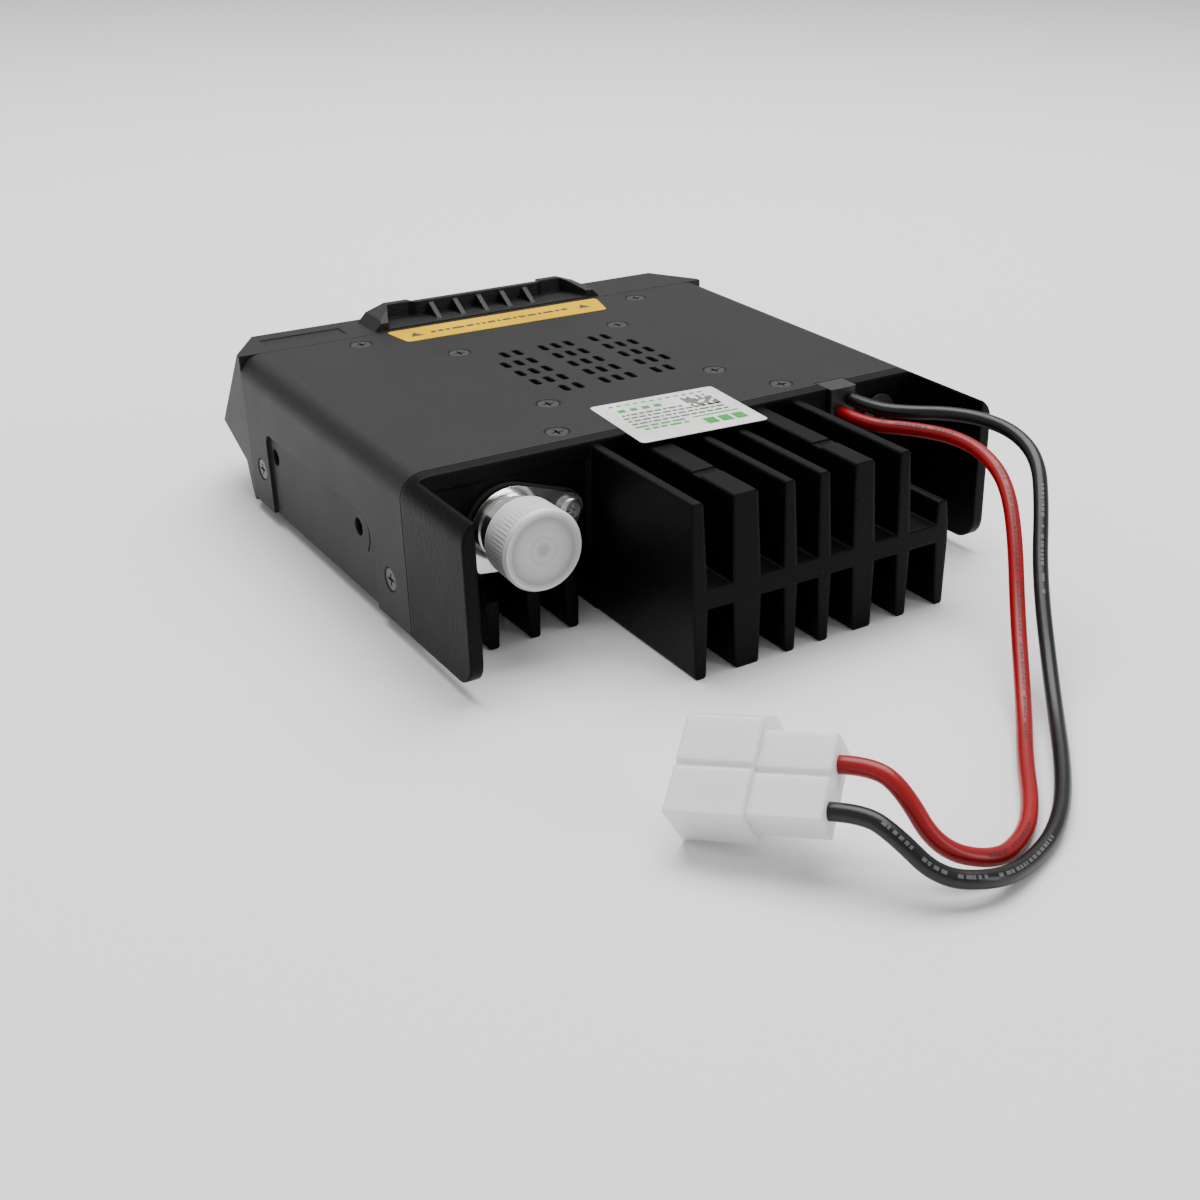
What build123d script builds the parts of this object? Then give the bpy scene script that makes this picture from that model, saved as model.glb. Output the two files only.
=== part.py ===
from build123d import *
import math
import os

os.makedirs("parts", exist_ok=True)

# Mobile radio transceiver, millimetres. +Z up, front panel faces -Y, heatsink faces +Y.
# The fin tips stand on z = 0.

# body
half_w = 71.5
top_z = 42.1
skirt_z = 3.6
edge_r = 5.9
cover_t = 2.0
cover_front = -50.6
cover_rear = 48.4
gap = 0.3

# casting
tub_half = half_w - cover_t - gap
tub_wall = 3.0
tub_front = -50.3
tub_top = top_z - cover_t - gap
wall_back = 52.3
wall_front = cover_rear + gap
wing_t = 3.0
wing_end = 78.3
plate_z0 = 16.4
plate_z1 = 20.9
fin_top = 41.0
fin_end = 95.0
fin_short_top = 26.5
low_fin_end = 57.5
low_fin_front = -46.0
fins = [(25.2, 2.6), (13.0, 6.2), (1.3, 2.5), (-8.1, 2.5), (-19.3, 5.2), (-31.0, 2.7), (-42.7, 2.5)]
low_fins = [55.9, 45.5, 35.6, -53.2, -63.0]

# fasteners
post_xy = [(40.5, -44.5), (-44.5, -44.5), (29.7, 42.4), (-33.7, 42.4)]
spk_x, spk_y = -2.0, 0.1
spk_hole = 24.0
spk_xy = [(spk_x + i * spk_hole, spk_y + j * spk_hole) for i in (-1, 1) for j in (-1, 1)]
side_y = (-42.2, 38.8)
side_z = 14.0
bracket_y = (-32.9, 20.4)
bracket_z = 20.1
bracket_r = 1.65
bracket_end_x = (62.8, 63.4)
bracket_tip = 0.95
board_xy = [(i * 53.0, j) for i in (-1, 1) for j in (-34.0, 30.0)]

# front panel
tilt = math.radians(38.5)
panel_back = -50.9
panel_top_y = -66.8
nose_z = 19.1
nose_y = panel_top_y - (top_z - nose_z) * math.tan(tilt)
panel_t = 2.5
n_y = -math.cos(tilt)
n_z = math.sin(tilt)
face = Plane(origin=(0, panel_top_y, top_z), x_dir=(1, 0, 0), z_dir=(0, n_y, n_z))
hood_x = -1.5
window_x = 8.0
window_w = 62.0
window_h = 15.6
window_v = -8.9
knob_r = 6.0
knob_v = -17.6
knob_top = 7.4
shaft_top = 5.6
vol_x = -51.0
chan_x = 52.0
shaft_r = 3.0
run_fit = 0.05
key_v = -20.9
key_w = 8.0
key_h = 3.4
key_x = [window_x + (i - 2.5) * 10.0 for i in range(6)]
mic_x = -32.5
mic_z = 26.6
board_v = -11.8

# antenna socket
ant_x = 48.3
ant_z = 26.6
thread_r = 7.95
ant_end = 67.6
cap_r = 9.6
cap_start = 59.2
cap_end = 69.2
ear_xz = [(33.9, 28.3), (39.0, 19.4)]

# leads
wire_d = 3.5
wire_r = wire_d / 2
floor_gap = 0.2
grommet_face = 53.6


def body_outline(inset, bottom):
    """Rounded-top outline of the case, drawn in an XZ plane."""
    r = edge_r - inset
    x = half_w - inset
    z = top_z - inset
    with BuildLine() as line:
        Polyline((-x, z - r), (-x, bottom), (x, bottom), (x, z - r))
        RadiusArc((x, z - r), (x - r, z), -r)
        Line((x - r, z), (-x + r, z))
        RadiusArc((-x + r, z), (-x, z - r), -r)
    return line.line


# Die-cast chassis: tub, floor plate, rear wall, wings and fins in one casting.
with BuildPart() as chassis:
    with BuildSketch(Plane.XZ.offset(-wall_back)):
        make_face(body_outline(0, skirt_z))
        with Locations((0, (skirt_z + plate_z0) / 2)):
            Rectangle(2 * (half_w - wing_t), plate_z0 - skirt_z, mode=Mode.SUBTRACT)
    extrude(amount=wall_back - wall_front)
    with BuildSketch(Plane.XZ.offset(-wing_end)):
        make_face(body_outline(0, skirt_z))
        with Locations((0, top_z / 2)):
            Rectangle(2 * (half_w - wing_t), 2 * top_z, mode=Mode.SUBTRACT)
    extrude(amount=wing_end - wall_back)
    with BuildSketch(Plane.XZ.offset(-wall_front)):
        make_face(body_outline(cover_t + gap, skirt_z))
        with Locations((0, top_z / 2)):
            Rectangle(2 * (tub_half - tub_wall), 2 * top_z, mode=Mode.SUBTRACT)
        with Locations((0, (plate_z0 + plate_z1) / 2)):
            Rectangle(2 * tub_half - 1, plate_z1 - plate_z0)
    extrude(amount=wall_front - tub_front)
    with BuildSketch(Plane.XZ.offset(-tub_front)):
        make_face(body_outline(cover_t + gap, plate_z0))
        with Locations((0, 29.5)):
            Rectangle(46, 12, mode=Mode.SUBTRACT)
    extrude(amount=-2.5)
    with BuildSketch(Plane.XZ.offset(-fin_end)) as fin_profile:
        with Locations(((fins[0][0] + fins[-1][0]) / 2, (plate_z0 + plate_z1) / 2)):
            Rectangle(fins[0][0] - fins[-1][0], plate_z1 - plate_z0)
        for x, tip in fins:
            high = fin_short_top if x == fins[-1][0] else fin_top
            with BuildLine():
                Polyline(
                    (x - tip / 2 - 0.5, plate_z1),
                    (x - tip / 2, high),
                    (x + tip / 2, high),
                    (x + tip / 2 + 0.5, plate_z1),
                    (x + tip / 2 + 0.5, plate_z0),
                    (x + tip / 2, 0),
                    (x - tip / 2, 0),
                    (x - tip / 2 - 0.5, plate_z0),
                    close=True,
                )
            make_face()
        corners = fin_profile.vertices()
        fillet(corners.filter_by_position(Axis.Y, fin_top - 0.01, fin_top + 0.01), 0.7)
        corners = fin_profile.vertices()
        fillet(corners.filter_by_position(Axis.Y, fin_short_top - 0.01, fin_short_top + 0.01), 0.7)
        corners = fin_profile.vertices()
        fillet(corners.filter_by_position(Axis.Y, -0.01, 0.01), 0.7)
    extrude(amount=fin_end - wall_back + 1)
    with BuildSketch(Plane.XZ.offset(-low_fin_end)) as low_profile:
        for x in low_fins:
            with BuildLine():
                Polyline(
                    (x - 1.9, plate_z0),
                    (x + 1.9, plate_z0),
                    (x + 1.25, 0),
                    (x - 1.25, 0),
                    close=True,
                )
            make_face()
        corners = low_profile.vertices()
        fillet(corners.filter_by_position(Axis.Y, -0.01, 0.01), 0.7)
    extrude(amount=low_fin_end - low_fin_front)
    with BuildSketch(Plane.XZ.offset(-wall_back)):
        for x, tip in fins:
            with BuildLine():
                Polyline(
                    (x - tip / 2 - 0.5, plate_z0),
                    (x + tip / 2 + 0.5, plate_z0),
                    (x + tip / 2, 0),
                    (x - tip / 2, 0),
                    close=True,
                )
            make_face()
    extrude(amount=wall_back - low_fin_front)
    # rear ends of the tall fins: slight draft and rounded corners
    with BuildSketch(Plane.YZ.offset(fins[-1][0] - 4)) as fin_end_cut:
        with Locations((fin_end - 8, 21)):
            Rectangle(20, 50)
        with BuildLine():
            Polyline(
                (fin_end - 18, 0),
                (fin_end, 0),
                (fin_end, plate_z0),
                (fin_end - 1, fin_top),
                (fin_end - 18, fin_top),
                close=True,
            )
        make_face(mode=Mode.SUBTRACT)
    extrude(amount=fins[0][0] - fins[-1][0] + 8, mode=Mode.SUBTRACT)
    # sloped rear ends of the low fins beside the heatsink
    for x0, x1 in ((31.0, 62.0), (-67.0, -49.0)):
        with BuildSketch(Plane.YZ.offset(x0)):
            with BuildLine():
                Polyline(
                    (wall_back, 15.0),
                    (low_fin_end + 1, 10.8),
                    (low_fin_end + 1, plate_z0 + 1),
                    (wall_back, plate_z0 + 1),
                    close=True,
                )
            make_face()
        extrude(amount=x1 - x0, mode=Mode.SUBTRACT)
    # saddle notches across the two thick fins
    with BuildSketch(Plane.YZ.offset(-23)):
        with Locations((79.5, fin_top + 0.1)):
            Rectangle(3.2, 1.2)
    extrude(amount=8, mode=Mode.SUBTRACT)
    with BuildSketch(Plane.YZ.offset(9)):
        with Locations((79.5, fin_top + 0.1)):
            Rectangle(3.2, 1.2)
    extrude(amount=8, mode=Mode.SUBTRACT)
    # posts for the cover screws and board standoffs
    with BuildSketch(Plane.XY.offset(plate_z1)):
        with Locations(*post_xy):
            Circle(3.5)
    extrude(amount=tub_top - plate_z1)
    with BuildSketch(Plane.XY.offset(plate_z1)):
        with Locations(*board_xy):
            Circle(3.0)
    extrude(amount=3.1)
    with BuildSketch(Plane.XY.offset(tub_top)):
        with Locations(*post_xy):
            Circle(1.5)
    extrude(amount=-9, mode=Mode.SUBTRACT)
    with BuildSketch(Plane.XY.offset(24.0)):
        with Locations(*board_xy):
            Circle(1.3)
    extrude(amount=-6, mode=Mode.SUBTRACT)
    # side bosses with the threaded bracket holes, and the side screw holes
    for side in (-1, 1):
        with BuildSketch(Plane.YZ.offset(side * (tub_half - 1))):
            with Locations(*[(y, bracket_z) for y in bracket_y]):
                Circle(4.5)
        extrude(amount=-side * 7.2)
        for y, end_x in zip(bracket_y, bracket_end_x):
            with BuildSketch(Plane.XY.offset(bracket_z)):
                with BuildLine():
                    Polyline(
                        (side * (tub_half + 1), y),
                        (side * (tub_half + 1), y + bracket_r),
                        (side * end_x, y + bracket_r),
                        (side * (end_x - bracket_tip), y),
                        close=True,
                    )
                make_face()
            revolve(axis=Axis((0, y, bracket_z), (1, 0, 0)), mode=Mode.SUBTRACT)
        with BuildSketch(Plane.YZ.offset(side * (tub_half + 1))):
            with Locations(*[(y, side_z) for y in side_y]):
                Circle(1.5)
        extrude(amount=-side * 6.0, mode=Mode.SUBTRACT)
    # recessed panels, openings and the lead notch of the rear wall
    with BuildSketch(Plane.XZ.offset(-wall_back)):
        with Locations(((27.4 + 68.5) / 2, 26.7)):
            Rectangle(41.1, 23.0)
        with Locations(((-68.5 - 45.4) / 2, 29.55)):
            Rectangle(23.1, 17.3)
    extrude(amount=0.6, mode=Mode.SUBTRACT)
    with BuildSketch(Plane.XZ.offset(-wall_back)):
        with Locations((-57.5, 33.0)):
            Circle(4.1)
        with Locations(*ear_xz):
            Circle(1.25)
        with Locations((-44.9, 37.0)):
            Rectangle(8.2, 12.0)
    extrude(amount=5, mode=Mode.SUBTRACT)
    with BuildSketch(Plane.XZ.offset(-wall_back)):
        with Locations((ant_x, ant_z)):
            Circle(8.2)
    extrude(amount=7.5, mode=Mode.SUBTRACT)
    wing_low = chassis.edges().filter_by(Axis.X).filter_by_position(Axis.Y, wing_end - 0.1, wing_end + 0.1)
    fillet(wing_low.filter_by_position(Axis.Z, skirt_z - 0.1, skirt_z + 0.1), 6.0)
chassis.part.label = "chassis"
export_step(chassis.part, "parts/chassis.step")

# Top cover: one shell over the top and both sides, 2 mm wall.
with BuildPart() as top_cover:
    with BuildSketch(Plane.XZ.offset(-cover_rear)):
        make_face(body_outline(0, skirt_z))
        make_face(body_outline(cover_t, skirt_z - 1), mode=Mode.SUBTRACT)
    extrude(amount=cover_rear - cover_front)
    # bracket seats pressed into both sides
    for side in (-1, 1):
        with BuildSketch(Plane.YZ.offset(side * (half_w + 1))) as seat:
            with BuildLine():
                Polyline((-36.5, skirt_z - 1), (-36.5, 25.7), (27.0, 25.7), (31.6, 18.0), (30.4, skirt_z - 1), close=True)
            make_face()
            fillet(seat.vertices().sort_by(Axis.Y)[-2:], 3.0)
        extrude(amount=-side * 1.9, mode=Mode.SUBTRACT)
        with BuildSketch(Plane.YZ.offset(side * (half_w + 1))):
            with Locations(*[(y, bracket_z) for y in bracket_y]):
                Circle(2.2)
        extrude(amount=-side * 4.0, mode=Mode.SUBTRACT)
        # short arc groove behind the rear bracket hole
        with BuildSketch(Plane.YZ.offset(side * (half_w - 0.9))):
            with Locations((bracket_y[1], bracket_z)):
                Circle(6.6)
                Circle(6.0, mode=Mode.SUBTRACT)
                Rectangle(9, 20, mode=Mode.SUBTRACT)
                with Locations((-6, 0)):
                    Rectangle(12, 20, mode=Mode.SUBTRACT)
        extrude(amount=-side * 0.4, mode=Mode.SUBTRACT)
        with Locations(*[Plane(origin=(side * half_w, y, side_z), z_dir=(side, 0, 0)) for y in side_y]):
            CounterSinkHole(radius=1.7, counter_sink_radius=3.1, depth=4)
    with Locations(*[Plane(origin=(x, y, top_z)) for x, y in post_xy + spk_xy]):
        CounterSinkHole(radius=1.7, counter_sink_radius=3.1, depth=4)
    # speaker slots: three groups of three columns, outer corners of the outer groups left solid
    with BuildSketch(Plane.XY.offset(top_z + 1)):
        for group in (-1, 0, 1):
            for col in (-1, 0, 1):
                for row in (-2, -1, 0, 1, 2):
                    corner = abs(row) == 2 and group != 0 and col == group
                    if not corner:
                        with Locations((-2.0 + 15.15 * group + 3.8 * col, 0.4 + 7.94 * row)):
                            SlotOverall(5.0, 1.9, rotation=90)
    extrude(amount=-4, mode=Mode.SUBTRACT)
    with BuildSketch(Plane.XY.offset(top_z + 1)):
        with Locations((-44.9, cover_rear)):
            Rectangle(8.6, 2.6)
    extrude(amount=-4, mode=Mode.SUBTRACT)
top_cover.part.label = "top_cover"
export_step(top_cover.part, "parts/top_cover.step")

# Countersunk cross-head screws, M3 x 6: four hold the cover, four hang the speaker from it.
with BuildPart() as cover_screws:
    with Locations(*[(x, y, top_z - 0.2) for x, y in post_xy + spk_xy]):
        Cone(1.45, 2.7, 1.4, align=(Align.CENTER, Align.CENTER, Align.MAX))
        Cylinder(1.45, 6.0, align=(Align.CENTER, Align.CENTER, Align.MAX))
        Box(3.0, 0.6, 1.8, mode=Mode.SUBTRACT)
        Box(0.6, 3.0, 1.8, mode=Mode.SUBTRACT)
cover_screws.part.label = "cover_screws"
export_step(cover_screws.part, "parts/cover_screws.step")

# Side screws, M3 x 5, through the cover's sides into the casting.
with BuildPart() as side_screws:
    for side in (-1, 1):
        ends = [Plane(origin=(side * (half_w - 0.2), y, side_z), z_dir=(side, 0, 0)) for y in side_y]
        with Locations(*ends):
            Cone(1.45, 2.7, 1.4, align=(Align.CENTER, Align.CENTER, Align.MAX))
            Cylinder(1.45, 5.0, align=(Align.CENTER, Align.CENTER, Align.MAX))
            Box(3.0, 0.6, 1.8, mode=Mode.SUBTRACT)
            Box(0.6, 3.0, 1.8, mode=Mode.SUBTRACT)
side_screws.part.label = "side_screws"
export_step(side_screws.part, "parts/side_screws.step")

# Front panel: a moulded shell with a sloping face, cut corners and a raised hood on its top edge.
corner_x = 62.0
corner_y = 14.3
outer_levels = [(top_z, panel_top_y), (nose_z, nose_y), (12.2, -69.8), (6.4, -68.0), (2.4, -66.4)]
inner_levels = [(top_z - 2.5, -65.6), (21.6, -79.9), (14.2, -67.4), (7.0, -65.2), (4.9, -64.6)]
with BuildPart() as front_panel:
    for z, y in outer_levels:
        with BuildSketch(Plane.XY.offset(z)):
            with BuildLine():
                Polyline(
                    (-half_w + gap, panel_back),
                    (-half_w + gap, y + corner_y),
                    (-corner_x, y),
                    (corner_x, y),
                    (half_w - gap, y + corner_y),
                    (half_w - gap, panel_back),
                    close=True,
                )
            make_face()
    loft(ruled=True)
    long_edges = front_panel.edges().filter_by(Axis.X)
    fillet(long_edges.filter_by_position(Axis.Y, -67.0, -66.6), 1.6)
    long_edges = front_panel.edges().filter_by(Axis.X)
    fillet(long_edges.filter_by_position(Axis.Y, nose_y - 0.1, nose_y + 0.1), 1.2)
    for z, y in inner_levels:
        with BuildSketch(Plane.XY.offset(z)):
            with BuildLine():
                Polyline(
                    (-half_w + 2.8, panel_back + 1),
                    (-half_w + 2.8, y + 13.0),
                    (-corner_x + 1.2, y),
                    (corner_x - 1.2, y),
                    (half_w - 2.8, y + 13.0),
                    (half_w - 2.8, panel_back + 1),
                    close=True,
                )
            make_face()
    loft(ruled=True, mode=Mode.SUBTRACT)
    # hood: low trapezoid with a trough open to the rear, five ribs in the trough
    with BuildSketch(Plane.XZ.offset(51.9)):
        with BuildLine():
            Polyline(
                (hood_x - 35.0, top_z - 0.5),
                (hood_x - 35.0, top_z),
                (hood_x - 32.4, top_z + 2.6),
                (hood_x - 27.0, top_z + 4.4),
                (hood_x + 27.0, top_z + 4.4),
                (hood_x + 32.4, top_z + 2.6),
                (hood_x + 35.0, top_z),
                (hood_x + 35.0, top_z - 0.5),
                close=True,
            )
        make_face()
    extrude(amount=11.6)
    with BuildSketch(Plane.XY.offset(top_z + 0.5)):
        with BuildLine():
            Polyline(
                (hood_x - 31.5, -50.0),
                (hood_x - 27.0, -61.2),
                (hood_x - 20.8, -61.2),
                (hood_x - 19.0, -59.7),
                (hood_x + 19.0, -59.7),
                (hood_x + 20.8, -61.2),
                (hood_x + 27.0, -61.2),
                (hood_x + 31.5, -50.0),
                close=True,
            )
        make_face()
    extrude(amount=8, mode=Mode.SUBTRACT)
    with BuildSketch(Plane.XY.offset(top_z + 0.5)):
        with BuildLine():
            Polyline(
                (hood_x - 21.2, -66.0),
                (hood_x - 19.6, -61.5),
                (hood_x + 19.6, -61.5),
                (hood_x + 21.2, -66.0),
                close=True,
            )
        make_face()
    extrude(amount=8, mode=Mode.SUBTRACT)
    with BuildSketch(Plane.YZ.offset(hood_x - 40)):
        with BuildLine():
            Polyline((-60.4, top_z + 4.6), (-50.0, top_z + 1.6), (-50.0, top_z + 6.0), close=True)
        make_face()
    extrude(amount=80, mode=Mode.SUBTRACT)
    for i in (-2, -1, 0, 1, 2):
        with BuildSketch(Plane.YZ.offset(hood_x + 7.3 * i - 0.75)):
            with BuildLine():
                Polyline((-60.0, top_z + 4.0), (-60.0, top_z + 0.2), (-53.6, top_z + 0.2), close=True)
            make_face()
        extrude(amount=1.5)
    # window recess with a through opening, key slots, shaft holes, microphone opening
    with BuildSketch(face):
        with Locations((window_x, window_v)):
            RectangleRounded(window_w, window_h, 1.2)
    extrude(amount=-1.5, mode=Mode.SUBTRACT)
    with BuildSketch(face):
        with Locations((window_x, window_v)):
            Rectangle(window_w - 3.4, window_h - 3.4)
        with Locations(*[(x, key_v) for x in key_x]):
            RectangleRounded(key_w + 0.5, key_h + 0.5, 0.9)
        with Locations((vol_x, knob_v), (chan_x, knob_v)):
            Circle(5.0)
    extrude(amount=-4.5, mode=Mode.SUBTRACT)
    with BuildSketch(Plane.XZ.offset(90)):
        with Locations((mic_x, mic_z)):
            Rectangle(15.0, 12.0)
    extrude(amount=-30, mode=Mode.SUBTRACT)
    # inset strip on the top face beside the hood
    with BuildSketch(Plane.XY.offset(top_z)):
        with Locations((51.0, -58.5)):
            Rectangle(22.0, 6.4)
    extrude(amount=-0.3, mode=Mode.SUBTRACT)
front_panel.part.label = "front_panel"
export_step(front_panel.part, "parts/front_panel.step")

# Display window, flush in its recess, with the display module behind it.
with BuildPart() as display_window:
    with BuildSketch(face.offset(-0.1)):
        with Locations((window_x, window_v)):
            RectangleRounded(window_w - 0.4, window_h - 0.4, 1.0)
    extrude(amount=-1.3)
display_window.part.label = "display_window"
export_step(display_window.part, "parts/display_window.step")

with BuildPart() as display_module:
    with BuildSketch(face.offset(-3.0)):
        with Locations((window_x, window_v)):
            Rectangle(60.0, 15.0)
    extrude(amount=-5.8)
    with BuildSketch(face.offset(-3.0)):
        with Locations((window_x, window_v)):
            Rectangle(55.0, 11.6)
    extrude(amount=-0.4, mode=Mode.SUBTRACT)
display_module.part.label = "display_module"
export_step(display_module.part, "parts/display_module.step")

# Front board behind the sloping face, notched for the microphone socket.
with BuildPart() as front_board:
    with BuildSketch(face.offset(-9.0)):
        with Locations((0, board_v)):
            Rectangle(122.0, 20.6)
        with Locations((mic_x, -15.0)):
            Rectangle(16.4, 22.4, mode=Mode.SUBTRACT)
    extrude(amount=-1.6)
front_board.part.label = "front_board"
export_step(front_board.part, "parts/front_board.step")

# Six keys, each a cap with a flange behind the panel and a stem over its switch.
for number, x in enumerate(key_x, start=1):
    with BuildPart() as key:
        with BuildSketch(face.offset(0.9)):
            with Locations((x, key_v)):
                RectangleRounded(key_w, key_h, 0.7)
        extrude(amount=-3.8)
        front_rim = key.edges().group_by(Axis(face.origin, face.z_dir))[-1]
        fillet(front_rim, 0.4)
        with BuildSketch(face.offset(-2.8)):
            with Locations((x, key_v)):
                Rectangle(9.2, 4.6)
        extrude(amount=-0.9)
        with BuildSketch(face.offset(-3.7)):
            with Locations((x, key_v)):
                Circle(1.3)
        extrude(amount=-2.4)
    key.part.label = f"key_{number}"
    export_step(key.part, f"parts/key_{number}.step")

with BuildPart() as key_switches:
    with BuildSketch(face.offset(-9.0)):
        with Locations(*[(x, key_v) for x in key_x]):
            Rectangle(4.6, 3.4)
    extrude(amount=1.6)
    with BuildSketch(face.offset(-7.4)):
        with Locations(*[(x, key_v) for x in key_x]):
            Circle(1.2)
    extrude(amount=0.6)
key_switches.part.label = "key_switches"
export_step(key_switches.part, "parts/key_switches.step")

# Volume control: potentiometer body, its shaft, and the knob pushed on the shaft.
with BuildPart() as volume_pot:
    with BuildSketch(face.offset(-9.0)):
        with Locations((vol_x, knob_v)):
            Rectangle(10.0, 10.0)
    extrude(amount=5.6)
    with BuildSketch(face.offset(-3.4)):
        with Locations((vol_x, knob_v)):
            Circle(4.4)
    extrude(amount=3.0)
    with BuildSketch(face.offset(-0.4)):
        with Locations((vol_x, knob_v)):
            Circle(shaft_r + run_fit)
    extrude(amount=-6.6, mode=Mode.SUBTRACT)
volume_pot.part.label = "volume_pot"
export_step(volume_pot.part, "parts/volume_pot.step")

# Channel control: encoder body with a deeper bore, a push plunger, its shaft and knob.
with BuildPart() as channel_encoder:
    with BuildSketch(face.offset(-9.0)):
        with Locations((chan_x, knob_v)):
            Rectangle(10.0, 10.0)
    extrude(amount=5.6)
    with BuildSketch(face.offset(-3.4)):
        with Locations((chan_x, knob_v)):
            Circle(4.4)
    extrude(amount=3.0)
    with BuildSketch(face.offset(-0.4)):
        with Locations((chan_x, knob_v)):
            Circle(shaft_r + run_fit)
    extrude(amount=-8.3, mode=Mode.SUBTRACT)
channel_encoder.part.label = "channel_encoder"
export_step(channel_encoder.part, "parts/channel_encoder.step")

with BuildPart() as channel_plunger:
    with BuildSketch(face.offset(-7.9)):
        with Locations((chan_x, knob_v)):
            Circle(shaft_r - 0.1)
    extrude(amount=1.2)
channel_plunger.part.label = "channel_plunger"
export_step(channel_plunger.part, "parts/channel_plunger.step")

for name, x in (("volume", vol_x), ("channel", chan_x)):
    with BuildPart() as shaft:
        with BuildSketch(face.offset(-6.4)):
            with Locations((x, knob_v)):
                Circle(shaft_r)
        extrude(amount=shaft_top + 6.4)
        with BuildSketch(face.offset(shaft_top)):
            with Locations((x, knob_v - 2.4)):
                Rectangle(8, 1.8)
        extrude(amount=-3.9, mode=Mode.SUBTRACT)
    shaft.part.label = f"{name}_shaft"
    export_step(shaft.part, f"parts/{name}_shaft.step")

    with BuildPart() as knob:
        with BuildSketch(face.offset(1.1)):
            with Locations((x, knob_v)):
                Circle(knob_r)
        extrude(amount=knob_top - 1.1, taper=1.2)
        rim = knob.edges().filter_by(GeomType.CIRCLE).group_by(Axis(face.origin, face.z_dir))[-1]
        fillet(rim, 0.8)
        with BuildSketch(face.offset(knob_top + 0.1)):
            with Locations((x, knob_v)):
                with PolarLocations(knob_r + 0.25, 24):
                    Circle(0.55)
        extrude(amount=-(knob_top - 2.6), mode=Mode.SUBTRACT)
        with BuildSketch(face.offset(knob_top)):
            with Locations((x, knob_v + 3.7)):
                Rectangle(0.8, 2.6)
        extrude(amount=-0.5, mode=Mode.SUBTRACT)
        with BuildSketch(face.offset(1.1)):
            with Locations((x, knob_v)):
                Circle(shaft_r + run_fit)
        extrude(amount=shaft_top - 0.9, mode=Mode.SUBTRACT)
    knob.part.label = f"{name}_knob"
    export_step(knob.part, f"parts/{name}_knob.step")

# Eight-pin modular microphone socket facing straight ahead, and its contact wires.
mic_front = 69.4
with BuildPart() as mic_socket:
    with BuildSketch(Plane.XZ.offset(mic_front)):
        with Locations((mic_x, mic_z)):
            Rectangle(14.4, 11.4)
    extrude(amount=-13.0)
    with BuildSketch(Plane.XZ.offset(mic_front)):
        with Locations((mic_x, mic_z + 0.6)):
            Rectangle(11.7, 7.4)
        with Locations((mic_x, mic_z - 3.7)):
            Rectangle(6.4, 1.8)
    extrude(amount=-10.6, mode=Mode.SUBTRACT)
mic_socket.part.label = "mic_socket"
export_step(mic_socket.part, "parts/mic_socket.step")

with BuildPart() as mic_contacts:
    with BuildSketch(Plane.XZ.offset(mic_front - 10.6)):
        for i in range(8):
            with Locations((mic_x + (i - 3.5) * 1.27, mic_z + 3.9)):
                Rectangle(0.5, 0.5)
    extrude(amount=9.0)
mic_contacts.part.label = "mic_contacts"
export_step(mic_contacts.part, "parts/mic_contacts.step")

# Main board on its standoffs, with its screws.
board_z = 24.1
with BuildPart() as main_board:
    with BuildSketch(Plane.XY.offset(board_z)):
        with Locations((0, -2.0)):
            Rectangle(119.0, 76.0)
        with Locations(*board_xy):
            Circle(1.5, mode=Mode.SUBTRACT)
    extrude(amount=1.6)
main_board.part.label = "main_board"
export_step(main_board.part, "parts/main_board.step")

with BuildPart() as board_screws:
    with Locations(*[(x, y, board_z + 1.6) for x, y in board_xy]):
        Cylinder(2.3, 1.6, align=(Align.CENTER, Align.CENTER, Align.MIN))
        Cylinder(1.2, 5.6, align=(Align.CENTER, Align.CENTER, Align.MAX))
        with Locations((0, 0, 1.6)):
            Box(2.6, 0.5, 1.6, mode=Mode.SUBTRACT)
            Box(0.5, 2.6, 1.6, mode=Mode.SUBTRACT)
board_screws.part.label = "board_screws"
export_step(board_screws.part, "parts/board_screws.step")

# Parts on the main board: shield can, capacitors, chips and the ribbon socket.
top_face_z = board_z + 1.6
with BuildPart() as shield_can:
    with BuildSketch(Plane.XY.offset(top_face_z)):
        with Locations((42.5, -8.0)):
            RectangleRounded(27.0, 34.0, 1.0)
    extrude(amount=5.0)
    with BuildSketch(Plane.XY.offset(top_face_z)):
        with Locations((42.5, -8.0)):
            Rectangle(26.2, 33.2)
    extrude(amount=4.6, mode=Mode.SUBTRACT)
shield_can.part.label = "shield_can"
export_step(shield_can.part, "parts/shield_can.step")

with BuildPart() as capacitors:
    with BuildSketch(Plane.XY.offset(top_face_z)):
        with Locations((-48.0, -22.0), (-48.0, -11.0), (-48.0, 4.0)):
            Circle(4.0)
    extrude(amount=10.5)
    tops = capacitors.edges().filter_by(GeomType.CIRCLE).group_by(Axis.Z)[-1]
    fillet(tops, 0.5)
capacitors.part.label = "capacitors"
export_step(capacitors.part, "parts/capacitors.step")

with BuildPart() as chips:
    with BuildSketch(Plane.XY.offset(top_face_z)):
        with Locations((38.0, 20.0)):
            Rectangle(12.0, 12.0)
        with Locations((-38.0, 20.0)):
            Rectangle(9.0, 6.0)
        with Locations((-37.0, -28.0)):
            Rectangle(7.0, 7.0)
    extrude(amount=1.5)
chips.part.label = "chips"
export_step(chips.part, "parts/chips.step")

with BuildPart() as power_module:
    with BuildSketch(Plane.XY.offset(plate_z1)):
        with Locations((-2.0, 42.9)):
            Rectangle(52.0, 9.4)
    extrude(amount=2.2)
    with BuildSketch(Plane.XY.offset(plate_z1 + 2.2)):
        with Locations((-2.0, 42.9)):
            Rectangle(42.0, 9.0)
    extrude(amount=6.0)
power_module.part.label = "power_module"
export_step(power_module.part, "parts/power_module.step")

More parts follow.
